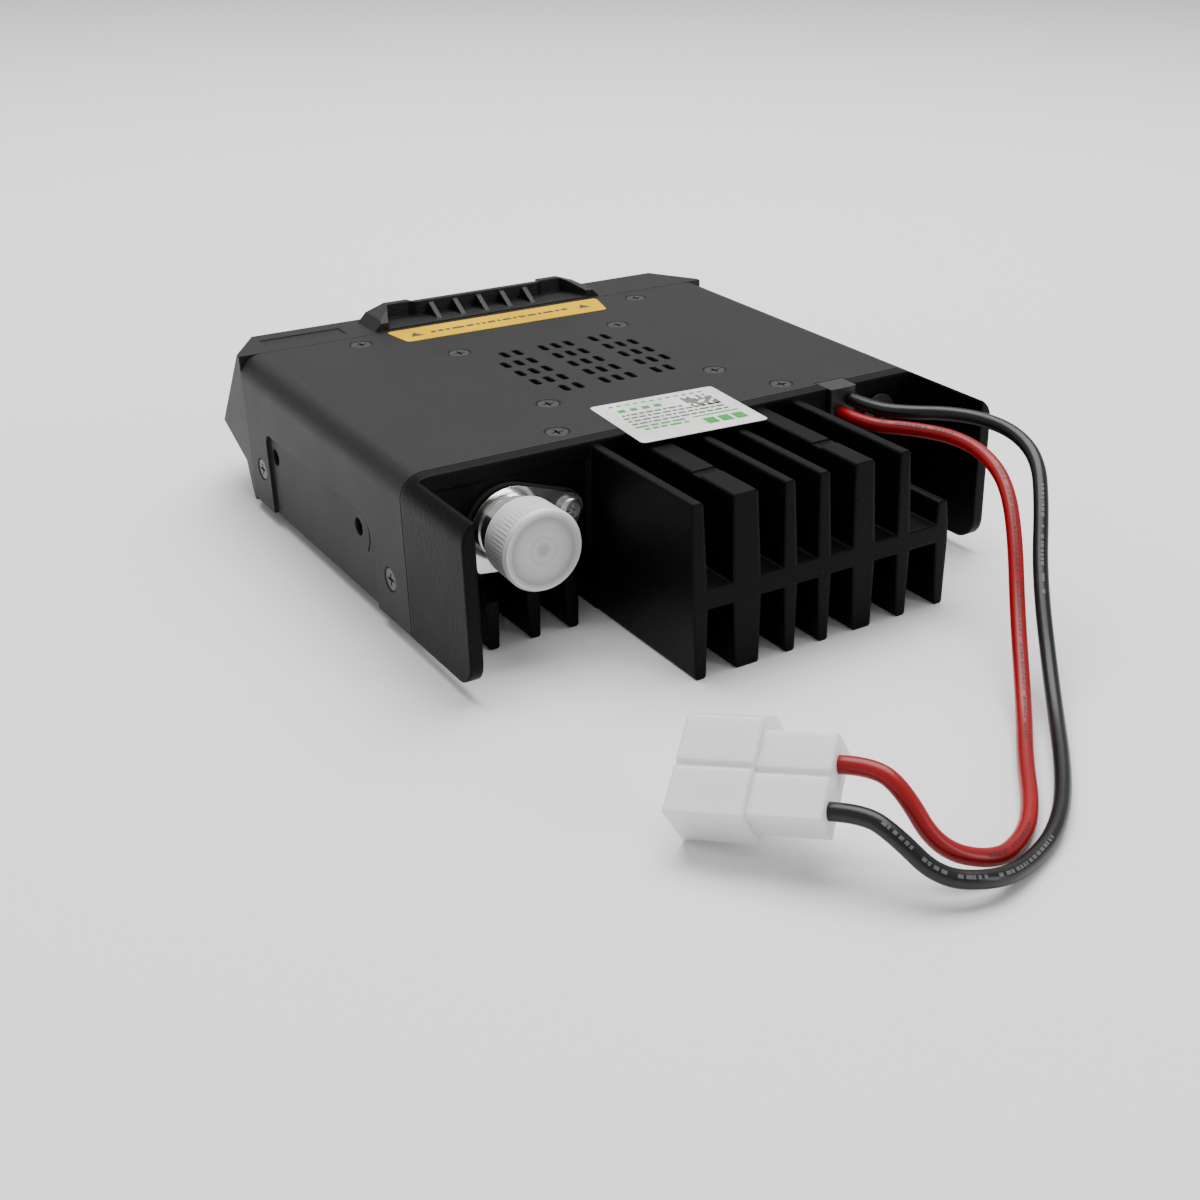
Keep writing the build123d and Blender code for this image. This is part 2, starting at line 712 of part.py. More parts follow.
# Ribbon from the front board to the main board, with a header at each end.
with BuildPart() as board_headers:
    with BuildSketch(face.offset(-10.6)):
        with Locations((0, -9.0)):
            Rectangle(24.0, 4.0)
    extrude(amount=-2.2)
    with BuildSketch(Plane.XY.offset(top_face_z)):
        with Locations((0, -37.0)):
            Rectangle(24.0, 4.0)
    extrude(amount=2.2)
board_headers.part.label = "board_headers"
export_step(board_headers.part, "parts/board_headers.step")

ribbon_y = panel_top_y - 9.0 * math.sin(tilt) - 12.8 * n_y
ribbon_z = top_z - 9.0 * math.cos(tilt) - 12.8 * n_z
with BuildPart() as ribbon:
    with BuildSketch(Plane.YZ.offset(-10.0)):
        with BuildLine():
            Polyline(
                (ribbon_y, ribbon_z),
                (ribbon_y + 4.0, ribbon_z + 1.0),
                (-39.0, ribbon_z + 1.0),
                (-36.6, top_face_z + 2.2),
                (-37.4, top_face_z + 2.2),
                (-39.3, ribbon_z + 0.6),
                (ribbon_y + 4.0, ribbon_z + 0.6),
                (ribbon_y + 0.25, ribbon_z - 0.3),
                close=True,
            )
        make_face()
    extrude(amount=20.0)
ribbon.part.label = "ribbon"
export_step(ribbon.part, "parts/ribbon.step")

# Speaker hung under the slots: cloth, frame with basket, cone and magnet.
under = top_z - cover_t
with BuildPart() as speaker_cloth:
    with BuildSketch(Plane.XY.offset(under)):
        with Locations((spk_x, spk_y)):
            Circle(24.6)
    extrude(amount=-0.5)
speaker_cloth.part.label = "speaker_cloth"
export_step(speaker_cloth.part, "parts/speaker_cloth.step")

frame_z = under - 0.6
spk_axis = Plane(origin=(spk_x, spk_y, 0), x_dir=(1, 0, 0), z_dir=(0, -1, 0))
with BuildPart() as speaker_frame:
    with BuildSketch(Plane.XY.offset(frame_z)):
        with Locations((spk_x, spk_y)):
            RectangleRounded(56.0, 56.0, 4.0)
            Circle(22.6, mode=Mode.SUBTRACT)
        with Locations(*spk_xy):
            Circle(1.5, mode=Mode.SUBTRACT)
    extrude(amount=-2.5)
    with BuildSketch(spk_axis):
        with BuildLine():
            Polyline(
                (22.6, frame_z - 2.5),
                (24.0, frame_z - 2.5),
                (13.0, 31.0),
                (13.0, 30.0),
                (4.0, 30.0),
                (4.0, 31.2),
                (11.4, 31.2),
                close=True,
            )
        make_face()
    revolve(axis=Axis((spk_x, spk_y, 0), (0, 0, 1)))
speaker_frame.part.label = "speaker_frame"
export_step(speaker_frame.part, "parts/speaker_frame.step")

with BuildPart() as speaker_cone:
    with BuildSketch(spk_axis):
        with BuildLine():
            Polyline(
                (21.8, frame_z - 0.8),
                (21.8, frame_z - 1.4),
                (8.0, 32.4),
                (0, 32.4),
                (0, 33.2),
                (7.6, 33.2),
                (20.8, frame_z - 0.8),
                close=True,
            )
        make_face()
    revolve(axis=Axis((spk_x, spk_y, 0), (0, 0, 1)))
speaker_cone.part.label = "speaker_cone"
export_step(speaker_cone.part, "parts/speaker_cone.step")

with BuildPart() as speaker_magnet:
    with BuildSketch(Plane.XY.offset(30.0)):
        with Locations((spk_x, spk_y)):
            Circle(11.5)
    extrude(amount=-3.6)
speaker_magnet.part.label = "speaker_magnet"
export_step(speaker_magnet.part, "parts/speaker_magnet.step")

# Threaded antenna socket: gasket, nickel shell with a two-ear flange, insulator, centre contact.
ant_plane = Plane(origin=(ant_x, 0, ant_z), x_dir=(1, 0, 0), z_dir=(0, 0, 1))
ant_axis = Axis((ant_x, 0, ant_z), (0, 1, 0))
seat_y = wall_back - 0.6
flange_y = seat_y + 0.8
flange_t = 1.8
flange_front = flange_y + flange_t


def flange_outline(grow):
    """Plate outline: round body, two screw ears and one square corner."""
    with BuildSketch(mode=Mode.PRIVATE) as plate:
        with Locations((ant_x, ant_z)):
            Circle(9.9 + grow)
        with Locations(*ear_xz):
            Circle(3.6 + grow)
        with Locations((ant_x + 8.0, ant_z - 8.0)):
            Circle(1.0 + grow)
        make_hull()
    return plate.sketch


with BuildPart() as socket_gasket:
    with BuildSketch(Plane.XZ.offset(-seat_y)):
        add(flange_outline(0.3))
        with Locations((ant_x, ant_z)):
            Circle(8.2, mode=Mode.SUBTRACT)
        with Locations(*ear_xz):
            Circle(1.6, mode=Mode.SUBTRACT)
    extrude(amount=-0.8)
socket_gasket.part.label = "socket_gasket"
export_step(socket_gasket.part, "parts/socket_gasket.step")

thread_pitch = 1.06
thread_depth = 0.55
thread_start = flange_front + 0.6
thread_turns = int((ant_end - 0.6 - thread_start) / thread_pitch)
shell_points = [(6.3, 46.0), (7.6, 46.0), (7.6, flange_y), (thread_r, flange_y), (thread_r, thread_start)]
for turn in range(thread_turns):
    y = thread_start + turn * thread_pitch
    shell_points.append((thread_r - thread_depth, y + thread_pitch / 2))
    shell_points.append((thread_r, y + thread_pitch))
shell_points += [(thread_r, ant_end - 0.4), (thread_r - 0.4, ant_end), (6.3, ant_end)]
with BuildPart() as antenna_socket:
    with BuildSketch(Plane.XZ.offset(-flange_y)):
        add(flange_outline(0))
        with Locations((ant_x, ant_z)):
            Circle(7.0, mode=Mode.SUBTRACT)
        with Locations(*ear_xz):
            Circle(1.6, mode=Mode.SUBTRACT)
    extrude(amount=-flange_t)
    with BuildSketch(ant_plane):
        with BuildLine():
            Polyline(*shell_points, close=True)
        make_face()
    revolve(axis=ant_axis)
antenna_socket.part.label = "antenna_socket"
export_step(antenna_socket.part, "parts/antenna_socket.step")

with BuildPart() as socket_insulator:
    with BuildSketch(ant_plane):
        with BuildLine():
            Polyline((2.6, 47.0), (6.3, 47.0), (6.3, 63.4), (5.4, 64.4), (2.6, 64.4), close=True)
        make_face()
    revolve(axis=ant_axis)
socket_insulator.part.label = "socket_insulator"
export_step(socket_insulator.part, "parts/socket_insulator.step")

with BuildPart() as socket_contact:
    with BuildSketch(ant_plane):
        with BuildLine():
            Polyline(
                (0, 41.0), (0.9, 41.0), (0.9, 46.0), (2.6, 46.0), (2.6, 64.0),
                (2.0, 64.0), (2.0, 51.0), (0, 51.0), close=True,
            )
        make_face()
    revolve(axis=ant_axis)
socket_contact.part.label = "socket_contact"
export_step(socket_contact.part, "parts/socket_contact.step")

with BuildPart() as socket_screws:
    ends = [Plane(origin=(x, flange_front, z), x_dir=(1, 0, 0), z_dir=(0, 1, 0)) for x, z in ear_xz]
    with Locations(*ends):
        Cylinder(2.7, 1.9, align=(Align.CENTER, Align.CENTER, Align.MIN))
    heads = socket_screws.edges().filter_by(GeomType.CIRCLE).group_by(Axis.Y)[-1]
    fillet(heads, 0.9)
    with Locations(*ends):
        Cylinder(1.2, 5.5, align=(Align.CENTER, Align.CENTER, Align.MAX))
        with Locations((0, 0, 1.9)):
            Box(3.2, 0.6, 2.0, mode=Mode.SUBTRACT)
            Box(0.6, 3.2, 2.0, mode=Mode.SUBTRACT)
socket_screws.part.label = "socket_screws"
export_step(socket_screws.part, "parts/socket_screws.step")

# Dust cap pushed over the thread: soft ribbed cup with a rolled face and a small centre plug.
with BuildPart() as dust_cap:
    with BuildSketch(ant_plane):
        with BuildLine():
            Polyline(
                (thread_r + 0.06, cap_start),
                (cap_r - 0.5, cap_start),
                (cap_r - 0.2, cap_start + 0.4),
                (cap_r, cap_end - 1.0),
                (cap_r - 0.5, cap_end),
                (cap_r - 1.7, cap_end),
                (cap_r - 2.1, cap_end - 0.35),
                (3.0, cap_end - 0.35),
                (2.4, cap_end - 0.6),
                (0, cap_end - 0.6),
                (0, cap_end - 4.0),
                (3.0, cap_end - 4.0),
                (3.0, cap_end - 1.3),
                (thread_r + 0.06, cap_end - 1.3),
                close=True,
            )
        make_face()
    revolve(axis=ant_axis)
    with BuildSketch(Plane.XZ.offset(-(cap_end - 1.6))):
        with Locations((ant_x, ant_z)):
            with PolarLocations(cap_r + 0.12, 60):
                Circle(0.3)
    extrude(amount=cap_end - 3.2 - cap_start, mode=Mode.SUBTRACT)
dust_cap.part.label = "dust_cap"
export_step(dust_cap.part, "parts/dust_cap.step")

# Outside-speaker jack in the other rear pocket, and the clamp that holds the two leads.
with BuildPart() as speaker_jack:
    jack_plane = Plane(origin=(-57.5, 0, 33.0), x_dir=(1, 0, 0), z_dir=(0, 0, 1))
    with BuildSketch(jack_plane):
        with BuildLine():
            Polyline(
                (0, 38.5), (4.0, 38.5), (4.0, seat_y), (4.8, seat_y), (4.8, seat_y + 1.0),
                (1.8, seat_y + 1.0), (1.8, 40.0), (0, 40.0), close=True,
            )
        make_face()
    revolve(axis=Axis((-57.5, 0, 33.0), (0, 1, 0)))
speaker_jack.part.label = "speaker_jack"
export_step(speaker_jack.part, "parts/speaker_jack.step")

with BuildPart() as lead_clamp:
    with BuildSketch(Plane.XZ.offset(-grommet_face)):
        with Locations((-44.9, 36.6)):
            Rectangle(8.0, 11.0)
    extrude(amount=grommet_face - 47.4)
    upright = lead_clamp.edges().filter_by(Axis.Z).group_by(Axis.Y)[-1]
    fillet(upright, 0.6)
lead_clamp.part.label = "lead_clamp"
export_step(lead_clamp.part, "parts/lead_clamp.step")

# Stickers on the cover: the long one behind the hood, the plate sticker over the rear edge.
with BuildPart() as caution_label:
    with BuildSketch(Plane.XY.offset(top_z)) as caution_outline:
        with BuildLine():
            Polyline((-34.0, -49.6), (31.0, -50.0), (29.5, -39.1), (-30.9, -38.0), close=True)
        make_face()
        fillet(caution_outline.vertices(), 1.2)
    extrude(amount=0.15)
caution_label.part.label = "caution_label"
export_step(caution_label.part, "parts/caution_label.step")

with BuildPart() as plate_label:
    with BuildSketch(Plane.XY.offset(top_z)):
        with Locations((0.1, 47.6)):
            RectangleRounded(33.4, 27.4, 1.2, rotation=-4)
    extrude(amount=0.15)
plate_label.part.label = "plate_label"
export_step(plate_label.part, "parts/plate_label.step")

# Two-pole plug at the end of the leads, lying on its lower long edge.
plug_s = Vector(-0.5653, 0.8088, 0.1624)
plug_t = Vector(-0.5130, -0.1905, -0.8370)
plug = Plane(origin=(54.7, 135.2, 20.2), x_dir=plug_s, z_dir=plug_t)
plug_w = 20.0
plug_h = 11.4
plug_front = 15.0
plug_len = 29.3
pole_w = (6.2, 15.5)
pole_h = 4.9
mate = Plane(origin=plug.origin, x_dir=plug.y_dir, z_dir=plug.x_dir)
with BuildPart() as plug_housing:
    with BuildSketch(mate) as front_section:
        with BuildLine():
            Polyline(
                (0, 0),
                (plug_w / 2 - 0.8, 0),
                (plug_w / 2, 0.9),
                (plug_w / 2 + 0.8, 0),
                (plug_w, 0),
                (plug_w, plug_h),
                (-3.6, plug_h),
                (-3.6, 5.6),
                close=True,
            )
        make_face()
        fillet(front_section.vertices(), 0.35)
    extrude(amount=plug_front)
    with BuildSketch(mate.offset(plug_front)) as rear_section:
        with BuildLine():
            Polyline(
                (1.6, 1.4),
                (plug_w / 2 - 0.8, 1.4),
                (plug_w / 2, 2.3),
                (plug_w / 2 + 0.8, 1.4),
                (19.0, 1.4),
                (19.0, 9.4),
                (1.6, 9.4),
                close=True,
            )
        make_face()
        fillet(rear_section.vertices(), 0.35)
    extrude(amount=plug_len - plug_front)
    for w in pole_w:
        mouth = Plane(origin=plug.from_local_coords((0, w, pole_h + 0.6)), x_dir=plug.y_dir, z_dir=plug.x_dir)
        with BuildSketch(mouth):
            Rectangle(3.6, 6.2)
        extrude(amount=13.0, mode=Mode.SUBTRACT)
plug_housing.part.label = "plug_housing"
export_step(plug_housing.part, "parts/plug_housing.step")

with BuildPart() as plug_terminals:
    for w in pole_w:
        mouth = Plane(origin=plug.from_local_coords((3.0, w, pole_h + 0.6)), x_dir=plug.y_dir, z_dir=plug.x_dir)
        with BuildSketch(mouth):
            Rectangle(0.8, 5.2)
        extrude(amount=10.0)
plug_terminals.part.label = "plug_terminals"
export_step(plug_terminals.part, "parts/plug_terminals.step")

# Supply leads, 2 mm2 flexible wire, from the clamp to the plug.
black_start = Vector(-47.0, grommet_face, 38.8)
red_start = Vector(-44.3, grommet_face, 35.6)
red_end = plug.from_local_coords(Vector(plug_len, pole_w[0], pole_h))
black_end = plug.from_local_coords(Vector(plug_len, pole_w[1], pole_h))
lie = wire_r + floor_gap
routes = {
    "black_lead": [
        black_start,
        Vector(-47.0, 62.8, 38.8),
        Vector(-51.6, 70.8, 39.3),
        Vector(-58.8, 77.0, 39.6),
        Vector(-63.6, 85.5, 39.6),
        Vector(-64.4, 95.6, 38.7),
        Vector(-61.6, 105.4, 35.9),
        Vector(-55.0, 114.0, 30.0),
        Vector(-43.5, 126.5, 18.8),
        Vector(-29.0, 147.0, 4.6),
        Vector(-10.5, 169.5, lie),
        Vector(3.5, 182.0, lie),
        Vector(16.3, 187.4, lie),
        Vector(26.5, 189.6, 4.1),
        Vector(36.1, 185.4, 5.8),
        Vector(40.1, 178.0, 12.1),
        black_end + plug_s * 6.5,
        black_end,
    ],
    "red_lead": [
        red_start,
        Vector(-44.3, 64.6, 35.6),
        Vector(-50.0, 73.6, 36.4),
        Vector(-54.2, 84.0, 36.8),
        Vector(-54.0, 95.0, 36.3),
        Vector(-50.6, 106.5, 33.6),
        Vector(-44.6, 116.6, 26.6),
        Vector(-34.6, 129.6, 13.4),
        Vector(-20.5, 147.5, 3.4),
        Vector(-8.0, 161.0, lie),
        Vector(2.0, 173.0, lie),
        Vector(10.0, 180.0, lie),
        Vector(21.3, 184.6, 3.1),
        Vector(32.3, 180.6, 7.4),
        Vector(34.1, 172.5, 16.4),
        red_end + plug_s * 6.4,
        red_end,
    ],
}
for name, route in routes.items():
    runs = [(b - a).length for a, b in zip(route, route[1:])]
    radii = []
    for i in range(1, len(route) - 1):
        half_turn = math.radians((route[i] - route[i - 1]).get_angle(route[i + 1] - route[i]) / 2)
        radii.append(0.45 * min(runs[i - 1], runs[i]) / math.tan(half_turn))
    print(name, "runs", [round(v, 1) for v in runs])
    print(name, "radii", [round(v, 1) for v in radii])
    with BuildPart() as lead:
        with BuildLine() as path:
            FilletPolyline(*route, radius=radii)
        with BuildSketch(Plane(origin=path.line @ 0, z_dir=path.line % 0)):
            Circle(wire_r)
        sweep()
    length = sum(edge.length for edge in path.edges())
    print(name, "length", round(length, 1), "volume ratio", round(lead.part.volume / (math.pi * wire_r**2 * length), 4))
    lead.part.label = name
    export_step(lead.part, f"parts/{name}.step")
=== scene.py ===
import math
import random

import bmesh
import bpy
from mathutils import Matrix, Vector


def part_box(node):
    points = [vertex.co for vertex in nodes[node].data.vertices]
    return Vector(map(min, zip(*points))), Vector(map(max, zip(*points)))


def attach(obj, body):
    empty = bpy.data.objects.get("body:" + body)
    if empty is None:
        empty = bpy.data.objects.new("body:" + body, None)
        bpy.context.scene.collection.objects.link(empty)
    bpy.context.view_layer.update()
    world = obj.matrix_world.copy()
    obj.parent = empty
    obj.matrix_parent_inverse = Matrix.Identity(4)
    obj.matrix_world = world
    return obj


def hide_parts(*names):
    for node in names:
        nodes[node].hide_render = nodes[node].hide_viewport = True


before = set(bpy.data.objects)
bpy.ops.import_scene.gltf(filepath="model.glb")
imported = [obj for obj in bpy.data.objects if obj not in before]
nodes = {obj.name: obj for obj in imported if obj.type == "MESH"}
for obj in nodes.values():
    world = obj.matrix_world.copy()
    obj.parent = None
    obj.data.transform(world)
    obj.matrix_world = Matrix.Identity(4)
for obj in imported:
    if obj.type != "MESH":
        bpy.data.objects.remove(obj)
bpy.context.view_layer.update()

# Camera: a long lens behind the radio, above its rear left corner as seen from the back.
# It looks down at the fins, the antenna socket and the power lead.
eye = Vector((0.195114, 0.351289, 0.169568))
yaw = math.radians(-125.49329)
dip = math.radians(26.03232)
roll = math.radians(0.82907)
ahead = Vector((math.cos(yaw) * math.cos(dip), math.sin(yaw) * math.cos(dip), -math.sin(dip)))
level = Vector((math.sin(yaw), -math.cos(yaw), 0))
raised = level.cross(ahead)
right = math.cos(roll) * level + math.sin(roll) * raised
up = -math.sin(roll) * level + math.cos(roll) * raised
camera = bpy.data.objects.new("camera", bpy.data.cameras.new("camera"))
camera.data.sensor_width = 36
camera.data.lens = 48.307
camera.data.shift_x = -0.125
camera.data.clip_start = 0.01
camera.data.clip_end = 20
camera.matrix_world = Matrix((
    (right.x, up.x, -ahead.x, eye.x),
    (right.y, up.y, -ahead.y, eye.y),
    (right.z, up.z, -ahead.z, eye.z),
    (0, 0, 0, 1),
))
bpy.context.scene.collection.objects.link(camera)
bpy.context.scene.camera = camera

# Power leads: two soft wires in glossy sheaths, one black and one red, from the clamp in the
# rear wall down to the table and round into the back of the power plug.
wire = 0.0035


def sheath(name, colour, shade):
    mat = bpy.data.materials.new(name)
    mat.use_nodes = True
    tree = mat.node_tree
    gloss = tree.nodes["Principled BSDF"]
    gloss.inputs["Roughness"].default_value = 0.34
    gloss.inputs["Specular IOR Level"].default_value = 0.35
    gloss.inputs["Coat Weight"].default_value = 0.05
    gloss.inputs["Coat Roughness"].default_value = 0.25
    place = tree.nodes.new("ShaderNodeTexCoord")
    cloud = tree.nodes.new("ShaderNodeTexNoise")
    cloud.inputs["Scale"].default_value = 90
    cloud.inputs["Detail"].default_value = 3
    tree.links.new(place.outputs["Object"], cloud.inputs["Vector"])
    ramp = tree.nodes.new("ShaderNodeValToRGB")
    ramp.color_ramp.elements[0].position = 0.35
    ramp.color_ramp.elements[0].color = (*shade, 1)
    ramp.color_ramp.elements[1].position = 0.65
    ramp.color_ramp.elements[1].color = (*colour, 1)
    tree.links.new(cloud.outputs["Fac"], ramp.inputs["Fac"])
    tree.links.new(ramp.outputs["Color"], gloss.inputs["Base Color"])
    skin = tree.nodes.new("ShaderNodeTexNoise")
    skin.inputs["Scale"].default_value = 1400
    skin.inputs["Detail"].default_value = 2
    tree.links.new(place.outputs["Object"], skin.inputs["Vector"])
    dents = tree.nodes.new("ShaderNodeBump")
    dents.inputs["Strength"].default_value = 0.12
    dents.inputs["Distance"].default_value = 0.0002
    tree.links.new(skin.outputs["Fac"], dents.inputs["Height"])
    tree.links.new(dents.outputs["Normal"], gloss.inputs["Normal"])
    return mat


def lay_lead(name, route, mat):
    curve = bpy.data.curves.new(name, "CURVE")
    curve.dimensions = "3D"
    line = curve.splines.new("NURBS")
    line.points.add(len(route) - 1)
    for point, (x, y, z) in zip(line.points, route):
        point.co = (x / 1000, y / 1000, z / 1000, 1)
    line.order_u = 3
    line.use_endpoint_u = True
    line.resolution_u = 12
    curve.bevel_depth = wire / 2
    curve.bevel_resolution = 6
    curve.use_fill_caps = True
    curve.materials.append(mat)
    lead = bpy.data.objects.new(name, curve)
    bpy.context.scene.collection.objects.link(lead)
    return lead


black_route = [
    (-47.0, 53.6, 38.8), (-47.0, 62.8, 38.8), (-51.6, 70.8, 39.3), (-58.8, 77.0, 39.6),
    (-63.6, 85.5, 39.6), (-64.4, 95.6, 38.7), (-61.6, 105.4, 35.9), (-55.0, 114.0, 30.0),
    (-43.5, 126.5, 18.8), (-29.0, 147.0, 4.6), (-10.5, 169.5, 1.95), (3.5, 182.0, 1.95),
    (16.3, 187.4, 1.95), (26.5, 189.6, 4.1), (36.1, 185.4, 5.8), (40.1, 178.0, 12.1),
    (41.97, 171.86, 13.82), (45.64, 166.6, 12.76),
]
red_route = [
    (-44.3, 53.6, 35.6), (-44.3, 64.6, 35.6), (-50.0, 73.6, 36.4), (-54.2, 84.0, 36.8),
    (-54.0, 95.0, 36.3), (-50.6, 106.5, 33.6), (-44.6, 116.6, 26.6), (-34.6, 129.6, 13.4),
    (-20.5, 147.5, 3.4), (-8.0, 161.0, 1.95), (2.0, 173.0, 1.95), (10.0, 180.0, 1.95),
    (21.3, 184.6, 3.1), (32.3, 180.6, 7.4), (34.1, 172.5, 16.4), (35.98, 166.58, 18.64),
    (39.6, 161.4, 17.6),
]
black_sheath = sheath("black_pvc_sheath", (0.006, 0.006, 0.007), (0.004, 0.004, 0.0045))
red_sheath = sheath("red_pvc_sheath", (0.27, 0.001, 0.004), (0.22, 0.001, 0.003))
black_lead = lay_lead("black_wire", black_route, black_sheath)
red_lead = lay_lead("red_wire", red_route, red_sheath)


# Print along the sheaths: faint short dashes of ink in broken runs, which say nothing. They sit on
# the side of each lead that faces up and back.
dash_half = 0.00035
ink_film = 0.00003


def lead_print(name, lead, runs, colour):
    bare = lead.data.copy()
    bare.bevel_depth = 0
    core = bpy.data.objects.new(name + "_core", bare)
    bpy.context.scene.collection.objects.link(core)
    line = bpy.data.meshes.new_from_object(core.evaluated_get(bpy.context.evaluated_depsgraph_get()))
    points = [v.co.copy() for v in line.vertices]
    bpy.data.objects.remove(core)
    steps = [0.0]
    for a, b in zip(points, points[1:]):
        steps.append(steps[-1] + (b - a).length)
    pick = random.Random(len(name))
    facing = Vector((0.35, 0.55, 0.75))
    made = bmesh.new()
    for first, last in runs:
        at = first
        while at < last:
            dash = pick.uniform(0.0005, 0.0013)
            k = max(i for i, s in enumerate(steps[:-1]) if s <= at)
            along = (points[k + 1] - points[k]).normalized()
            middle = points[k] + along * (at - steps[k])
            out = (facing - along * facing.dot(along)).normalized()
            side = along.cross(out)
            rings = []
            for lift in (wire / 2 - ink_film, wire / 2 + ink_film):
                rings.append([
                    made.verts.new(middle + along * (u * dash / 2) + side * (w * dash_half) + out * lift)
                    for u, w in ((-1, -1), (1, -1), (1, 1), (-1, 1))
                ])
            made.faces.new(rings[1])
            made.faces.new(rings[0][::-1])
            for i in range(4):
                j = (i + 1) % 4
                made.faces.new((rings[0][i], rings[0][j], rings[1][j], rings[1][i]))
            at += dash + (0.0004 if pick.random() < 0.8 else 0.002)
    bmesh.ops.recalc_face_normals(made, faces=made.faces)
    mesh = bpy.data.meshes.new(name)
    made.to_mesh(mesh)
    made.free()
    ink = bpy.data.materials.new(name + "_ink")
    ink.use_nodes = True
    tree = ink.node_tree
    place = tree.nodes.new("ShaderNodeTexCoord")
    worn = tree.nodes.new("ShaderNodeTexNoise")
    worn.inputs["Scale"].default_value = 1800
    tree.links.new(place.outputs["Object"], worn.inputs["Vector"])
    tone = tree.nodes.new("ShaderNodeValToRGB")
    tone.color_ramp.elements[0].color = (*[c * 0.5 for c in colour], 1)
    tone.color_ramp.elements[1].color = (*colour, 1)
    tree.links.new(worn.outputs["Fac"], tone.inputs["Fac"])
    tree.links.new(tone.outputs["Color"], tree.nodes["Principled BSDF"].inputs["Base Color"])
    tree.nodes["Principled BSDF"].inputs["Roughness"].default_value = 0.5
    mesh.materials.append(ink)
    marks = bpy.data.objects.new(name, mesh)
    bpy.context.scene.collection.objects.link(marks)
    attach(marks, "body")
    return marks


black_runs = ((0.066, 0.096), (0.172, 0.214))
red_runs = ((0.014, 0.034), (0.052, 0.128), (0.158, 0.176))
black_marks = lead_print("black_lead_marks", black_lead, black_runs, (0.11, 0.11, 0.11))
red_marks = lead_print("red_lead_marks", red_lead, red_runs, (0.12, 0.004, 0.006))
black_length = 0.2244
red_length = 0.2078
black_carries = [nodes["plug_housing"], nodes["plug_terminals"], black_marks]
red_carries = [nodes["plug_housing"], red_marks]
for lead, node, colour, tip, length, carried in (
    (black_lead, "black_lead", "black_pvc", black_route[0], black_length, black_carries),
    (red_lead, "red_lead", "red_pvc", red_route[0], red_length, red_carries),
):
    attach(lead, "body")
    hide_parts(node)

# Stage: a plain pale table top under the radio, one large soft panel of light over it, two small ones
# beside it and behind its fins, and an even pale sky.
floor_mesh = bpy.data.meshes.new("table_top")
floor_mesh.from_pydata([(-6, -6, 0), (6, -6, 0), (6, 6, 0), (-6, 6, 0)], [], [(0, 1, 2, 3)])
table_top = bpy.data.objects.new("table_top", floor_mesh)
bpy.context.scene.collection.objects.link(table_top)
paper = bpy.data.materials.new("pale_paper")
paper.use_nodes = True
paper.node_tree.nodes["Principled BSDF"].inputs["Base Color"].default_value = (0.86, 0.86, 0.86, 1)
paper.node_tree.nodes["Principled BSDF"].inputs["Roughness"].default_value = 0.9
table_top.data.materials.append(paper)

sky = bpy.data.worlds.new("pale_room")
bpy.context.scene.world = sky
sky.use_nodes = True
sky.node_tree.nodes["Background"].inputs["Color"].default_value = (1, 1, 1, 1)
sky.node_tree.nodes["Background"].inputs["Strength"].default_value = 0.55

for name, place, aim, size, power in (
    ("top_panel", (-0.2, -0.3, 1.2), (0, 0.03, 0.02), (1.3, 1.0), 30),
    ("side_panel", (1.2, 0.1, 0.5), (0, 0, 0.02), (0.5, 0.7), 0.5),
    ("fin_panel", (-0.5, 1.0, 0.35), (-0.02, 0.08, 0.02), (0.25, 0.5), 3),
):
    lamp = bpy.data.objects.new(name, bpy.data.lights.new(name, "AREA"))
    lamp.data.shape = "RECTANGLE"
    lamp.data.size, lamp.data.size_y = size
    lamp.data.energy = power
    lamp.location = place
    lamp.rotation_mode = "QUATERNION"
    lamp.rotation_quaternion = (Vector(aim) - Vector(place)).to_track_quat("-Z", "Y")
    bpy.context.scene.collection.objects.link(lamp)

# Body casting: one black coated die casting with the floor, side walls, wings and fins.
# The coat is smooth with a fine orange peel and a few pale specks, and the edges are rounded.


